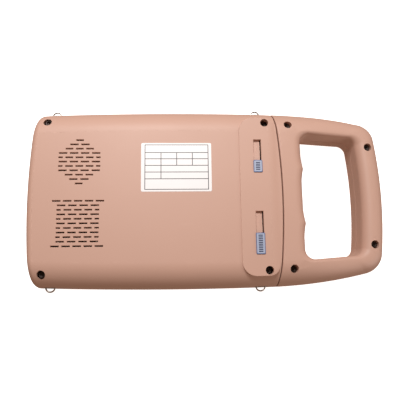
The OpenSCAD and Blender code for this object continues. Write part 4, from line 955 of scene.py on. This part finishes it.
def front_shell():
    """Front housing: one shell under body and handle, open for the window and the keys."""
    r = FRONT_ROUND
    rounding = [(outline(r * (1 - sin(a))), r * (1 - cos(a))) for a in quarter(12)]
    shell = new_piece("front_shell", *stack(
        rounding + [(outline(0), SEAM_Z - SEAM_CHAMFER), (outline(SEAM_CHAMFER), SEAM_Z)]))
    rib = JOINT_GAP / 2 + WALL

    def hollow(off):
        return [(min(x, joint_edge(y) - rib), y) for x, y in outline(off)]

    r = FRONT_ROUND - WALL
    combine(shell, stack([(hollow(WALL + r * (1 - sin(a))), FLOOR + r * (1 - cos(a)))
                          for a in quarter(4)] + [(hollow(WALL), SEAM_Z + PAST)]))
    r = HAND_FRONT_ROUND
    hand = [(whole_loop(hand_half(r * (1 - sin(a)))), r * (1 - cos(a))) for a in quarter(10)]
    hand_top = whole_loop(hand_half(SEAM_CHAMFER))
    combine(shell, stack([(hand[0][0], -PAST)] + hand
                         + [(whole_loop(hand_half(0)), SEAM_Z - SEAM_CHAMFER),
                            (hand_top, SEAM_Z), (hand_top, SEAM_Z + PAST)]))
    rim = 2 * (LEDGE + KEY_GAP)
    window_bed = rounded(VIEW_L + rim, VIEW_W + rim, 3)
    key_bed = rounded(KEYPAD_L, KEYPAD_W, KEYPAD_R)
    combine(shell, joined([shifted(prism(window_bed, -PAST, WINDOW_RECESS), DISPLAY_X),
                           shifted(prism(key_bed, -PAST, KEYPAD_RECESS), KEYPAD_X)]))
    cap = rounded(KEY_L + 2 * KEY_GAP, KEY_W + 2 * KEY_GAP, 2)
    holes = ([(rounded(VIEW_L, VIEW_W, 2), DISPLAY_X, 0)]
             + [(cap, x, y) for name, x, y in key_places()]
             + [(circle(POWER_R + KEY_GAP), KEYPAD_X, POWER_Y)])
    combine(shell, joined([shifted(prism(plan, 0, FLOOR + 2), x, y) for plan, x, y in holes]))
    fitted(shell, SHELL, replaces=["front_housing"])


# Fittings

HEAD_R, HEAD_H, HEAD_EDGE, SCREW_R = 2.8, 2.2, 0.3, 1.5
HEX_R, HEX_DEEP = HEAD_R * 0.52, HEAD_H * 0.6
KNOB_GAP, MARK_RISE, INLAY_RISE = 0.15, 0.15, 0.05
GRIP_W, GRIP_PITCH, GRIP_INSET, GRIP_ENDS = 0.8, 1.5, 4, 2.6
# The power key's dished face: shares of its radius, and how deep they lie
DISH = ((0.3, 0.35), (0.6, 0.12), (0.82, 0))
PROBE_BODY_L, PROBE_TAIL_R, PROBE_TAIL_L = 15, 4, 19
CONTACTS, CONTACT_R, CONTACT_RING_R = 7, 0.45, 3.4


def screw(x, y, seat, l):
    """Cap screw with a chamfered head and a hexagon socket."""
    top = seat + HEAD_H
    shank = [(circle(SCREW_R - 0.4), seat - l), (circle(SCREW_R), seat - l + 0.5),
             (circle(SCREW_R), seat)]
    head = [(circle(HEAD_R), seat), (circle(HEAD_R), top - HEAD_EDGE),
            (circle(HEAD_R - HEAD_EDGE), top)]
    socket = [(circle(HEX_R + 0.25), top), (hexagon(HEX_R), top - 0.2),
              (hexagon(HEX_R), top - HEX_DEEP), (circle(0.1), top - HEX_DEEP - 0.3)]
    return shifted(stack(shank + head + socket), x, y)


def screws():
    for name, places, seat, node in (
            ("body_cap_screws", BODY_SCREWS, BODY_SEAT, "body_screws"),
            ("handle_cap_screws", HANDLE_SCREWS, HANDLE_SEAT, "handle_screws")):
        l = seat - packed(node)[0].z
        fitted(new_piece(name, *joined([screw(x, y, seat, l) for x, y in places])), SCREW,
               replaces=[node])


def label():
    """Label sheet with its die-cut corners."""
    low, high = packed("rating_label")
    sheet = soft_block(high.x - low.x, high.y - low.y, low.z, high.z, 1.2, high_r=0.05, cuts=2)
    fitted(new_piece("label_sheet", *shifted(sheet, (low.x + high.x) / 2, (low.y + high.y) / 2)),
           LABEL, replaces=["rating_label"])


def strap_loop(number, x, s):
    """Wire loop bent to a half ring and closed by its hinge bar."""
    turns = [pi * k / LOOP_CUTS for k in range(LOOP_CUTS + 1)]
    ring = [(LOOP_R * cos(a), s * LOOP_R * sin(a), 0) for a in turns]
    bar = [(-LOOP_R - 0.2, 0, 0), (LOOP_R + 0.2, 0, 0)]
    y = s * (half_w(x) - HINGE_DEPTH)
    wires = joined([tube(ring, WIRE_R), tube(bar, LOOP_BAR_R)])
    loop = new_piece("loop_wire_%d" % number, *shifted(wires, x, y, LOOP_Z))
    fitted(loop, WIRE, "strap_loop_%d_body" % number, ["strap_loop_%d" % number])


def knob(node):
    """Slide control: a rimmed knob in its slot, a pale inlay and dark grip ridges across it."""
    low, high = packed(node)
    y, l, w = (low.y + high.y) / 2, high.y - low.y, high.x - low.x
    flange = PAD_Z + KNOB_GAP
    rim = high.z - MARK_RISE
    body = node + "_body"
    under = soft_block(SLOT_W - 0.4, l - 0.8, PAD_Z - SLOT_SHALLOW + KNOB_GAP, flange + 0.2, 0.6)
    stem = soft_block(STEM_W, STEM_L, low.z, flange + 0.2, 0.2)
    cap = soft_block(w, l, flange, rim, 0.9, high_r=0.2)
    stem_y = high.y - STEM_FROM_TOP - STEM_L / 2
    base = joined([shifted(under, SLOT_X, y), shifted(stem, STEM_X, stem_y),
                   shifted(cap, SLOT_X, y)])
    fitted(new_piece(node + "_base", *base), KNOB_EDGE, body, [node])
    inlay = soft_block(w - 1.1, l - 1.1, rim - 0.2, rim + INLAY_RISE, 0.6,
                       high_r=INLAY_RISE, cuts=2)
    fitted(new_piece(node + "_inlay", *shifted(inlay, SLOT_X, y)), KNOB, body)
    count = int((l - GRIP_ENDS) / GRIP_PITCH)
    mark = soft_block(w - GRIP_INSET, GRIP_W, rim - 0.1, high.z, 0.15, high_r=0.1, cuts=2)
    grip = [shifted(mark, SLOT_X, y + (k - (count - 1) / 2) * GRIP_PITCH) for k in range(count)]
    fitted(new_piece(node + "_grip", *joined(grip)), KNOB_MARK, body)


def keys():
    """Silicone caps with softly rounded faces on their flanges."""
    for name, x, y in key_places():
        cap = soft_block(KEY_L, KEY_W, KEY_FACE, FLANGE_Z + 0.5, 1.8, low_r=0.8)
        flange = soft_block(KEY_L + 2, KEY_W + 2, FLANGE_Z, FLANGE_Z + FLANGE_T, 2,
                            low_r=0.2, high_r=0.2, cuts=2)
        fitted(new_piece(name + "_cap", *shifted(joined([cap, flange]), x, y)), KEYS,
               name + "_body", [name])
    power = [(circle(POWER_R * share), KEY_FACE + deep) for share, deep in DISH]
    power += [(circle(POWER_R - 0.35), KEY_FACE + 0.1), (circle(POWER_R), KEY_FACE + 0.6),
              (circle(POWER_R), FLANGE_Z), (circle(POWER_R + 1), FLANGE_Z),
              (circle(POWER_R + 1), FLANGE_Z + FLANGE_T)]
    fitted(new_piece("power_cap", *shifted(stack(power), KEYPAD_X, POWER_Y)), POWER,
           "power_key_body", ["power_key"])


def window():
    """Polished window with ground edges."""
    low, high = packed("display_window")
    plate = soft_block(high.x - low.x, high.y - low.y, low.z, high.z, 2.8,
                       low_r=0.25, high_r=0.1, cuts=3)
    fitted(new_piece("window_plate", *shifted(plate, (low.x + high.x) / 2)), WINDOW,
           replaces=["display_window"])


def probe_connector():
    """Round probe socket: a turned shell, an insulator in its bore and the contacts."""
    bore, lip = 0.5, 0.3
    profile = ((PROBE_BORE_R + 0.1, PROBE_DEPTH), (PROBE_BORE_R, PROBE_DEPTH - 0.1),
               (PROBE_BORE_R, bore), (PROBE_BORE_R + bore, 0), (PROBE_R - lip, 0),
               (PROBE_R, lip), (PROBE_R, PROBE_BODY_L), (PROBE_TAIL_R, PROBE_BODY_L),
               (PROBE_TAIL_R, PROBE_TAIL_L))
    shell = stack([(circle(r), level) for r, level in profile])
    fitted(new_piece("probe_shell", *across_x(shell, END_X, 0, PROBE_Z)), NICKEL,
           replaces=["probe_socket"])
    face = prism(circle(PROBE_BORE_R), PROBE_DEPTH - 0.4, PROBE_DEPTH + 0.5)
    insulator = new_piece("probe_insulator", *across_x(face, END_X, 0, PROBE_Z))
    fitted(insulator, BLACK)
    contact = prism(circle(CONTACT_R, 16), PROBE_DEPTH - 0.5, PROBE_DEPTH)
    contacts = [shifted(contact, *moved((0, 0), 2 * pi * k / CONTACTS, CONTACT_RING_R))
                for k in range(CONTACTS)]
    fitted(new_piece("probe_contacts", *across_x(joined(contacts), END_X, 0, PROBE_Z)), BRASS)


rear_shell()
handle_shell()
front_shell()
screws()
label()
for number, (x, s) in enumerate([(x, s) for x in LOOP_X for s in (1, -1)], 1):
    strap_loop(number, x, s)
knob("upper_slider")
knob("lower_slider")
keys()
window()
probe_connector()

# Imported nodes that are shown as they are
PACKED = {
    SHELL: ["rear_cover", "handle_cover", "front_housing"],
    LABEL: ["rating_label"],
    SCREW: ["body_screws", "handle_screws"],
    WIRE: ["strap_lugs"] + ["strap_loop_%d" % k for k in range(1, 5)],
    KNOB: ["upper_slider", "lower_slider"],
    KEYS: ["key_%d" % k for k in range(1, 9)],
    POWER: ["power_key"],
    WINDOW: ["display_window"],
    NICKEL: ["probe_socket", "probe_nut"],
    BLACK: ["slide_pots", "fan_housing", "loudspeaker", "charge_jack"],
    ROTOR: ["fan_rotor"],
    PANEL: ["display_module"],
    GASKET: ["display_gasket"],
    FOAM: ["foam_strips"],
    MAT: ["key_mat"],
    FILM: ["display_cable", "key_cable"],
    BOARD: ["main_board", "key_board", "port_board"],
    TIN: ["shield_can", "usb_socket"],
    ALUMINIUM: ["heat_sink", "battery_tray", "display_frame"],
    BRASS: ["board_spacers"],
    ZINC: ["board_screws", "key_board_screws", "fan_screws", "port_screws"],
    WRAP: ["battery_pack"],
}
for finish, nodes in PACKED.items():
    for node in nodes:
        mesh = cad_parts[node].data
        mesh.materials.clear()
        mesh.materials.append(finish)


# Studio

FLOOR_SIZE, FLOOR_Z = 6000, -0.2
AIR, AIR_STRENGTH = (1, 0.7, 0.52, 1), 0.29


def studio_floor():
    half, z = FLOOR_SIZE / 2, FLOOR_Z
    corners = [(-half, -half, z), (half, -half, z), (half, half, z), (-half, half, z)]
    floor = new_piece("studio_floor", corners, [(0, 1, 2, 3)])
    floor.data.materials.append(floor_paper())
    floor.visible_diffuse = floor.visible_glossy = floor.visible_shadow = False


def soft_light(name, place, size, power, mirrored=True):
    """Square soft box at a place in millimetres, turned to the middle of the scanner."""
    lamp = bpy.data.lights.new(name, "AREA")
    lamp.shape, lamp.size, lamp.energy = "SQUARE", size * MM, power
    box = bpy.data.objects.new(name, lamp)
    bpy.context.scene.collection.objects.link(box)
    box.visible_glossy = mirrored
    box.location = Vector(place) * MM
    away = Vector((0, 0, BODY_H / 2)) - Vector(place)
    box.rotation_euler = away.to_track_quat("-Z", "Y").to_euler()


def camera():
    """The photograph's view: almost straight down on the rear face."""
    tilt, roll, pan = radians(10), radians(-0.81), radians(-2.75)
    distance, aim = 389, Vector((-8.25, -4.4, 40))
    focal_px, frame_px, sensor = 461, 400, 36
    back = Vector((sin(pan) * cos(tilt), -sin(tilt), cos(pan) * cos(tilt)))
    right = Vector((0, 1, 0)).cross(back).normalized()
    up = back.cross(right)
    turned_right = cos(roll) * right + sin(roll) * up
    turned_up = cos(roll) * up - sin(roll) * right
    lens = bpy.data.cameras.new("camera")
    lens.sensor_width, lens.lens = sensor, focal_px / frame_px * sensor
    lens.clip_start, lens.clip_end = 0.01, 20
    view = bpy.data.objects.new("camera", lens)
    bpy.context.scene.collection.objects.link(view)
    view.matrix_world = (Matrix.Translation((aim + back * distance) * MM)
                         @ Matrix((turned_right, turned_up, back)).transposed().to_4x4())
    bpy.context.scene.camera = view


def studio():
    studio_floor()
    soft_light("key_box", (-80, 410, 645), 300, 4.9)
    soft_light("side_box", (560, -300, 260), 240, 0.7)
    soft_light("low_box", (110, 0, -700), 200, 3, mirrored=False)
    world = bpy.data.worlds.new("studio")
    bpy.context.scene.world = world
    world.use_nodes = True
    air = world.node_tree.nodes["Background"]
    air.inputs["Color"].default_value = AIR
    air.inputs["Strength"].default_value = AIR_STRENGTH
    bpy.context.scene.view_settings.view_transform = "Standard"
    camera()


studio()
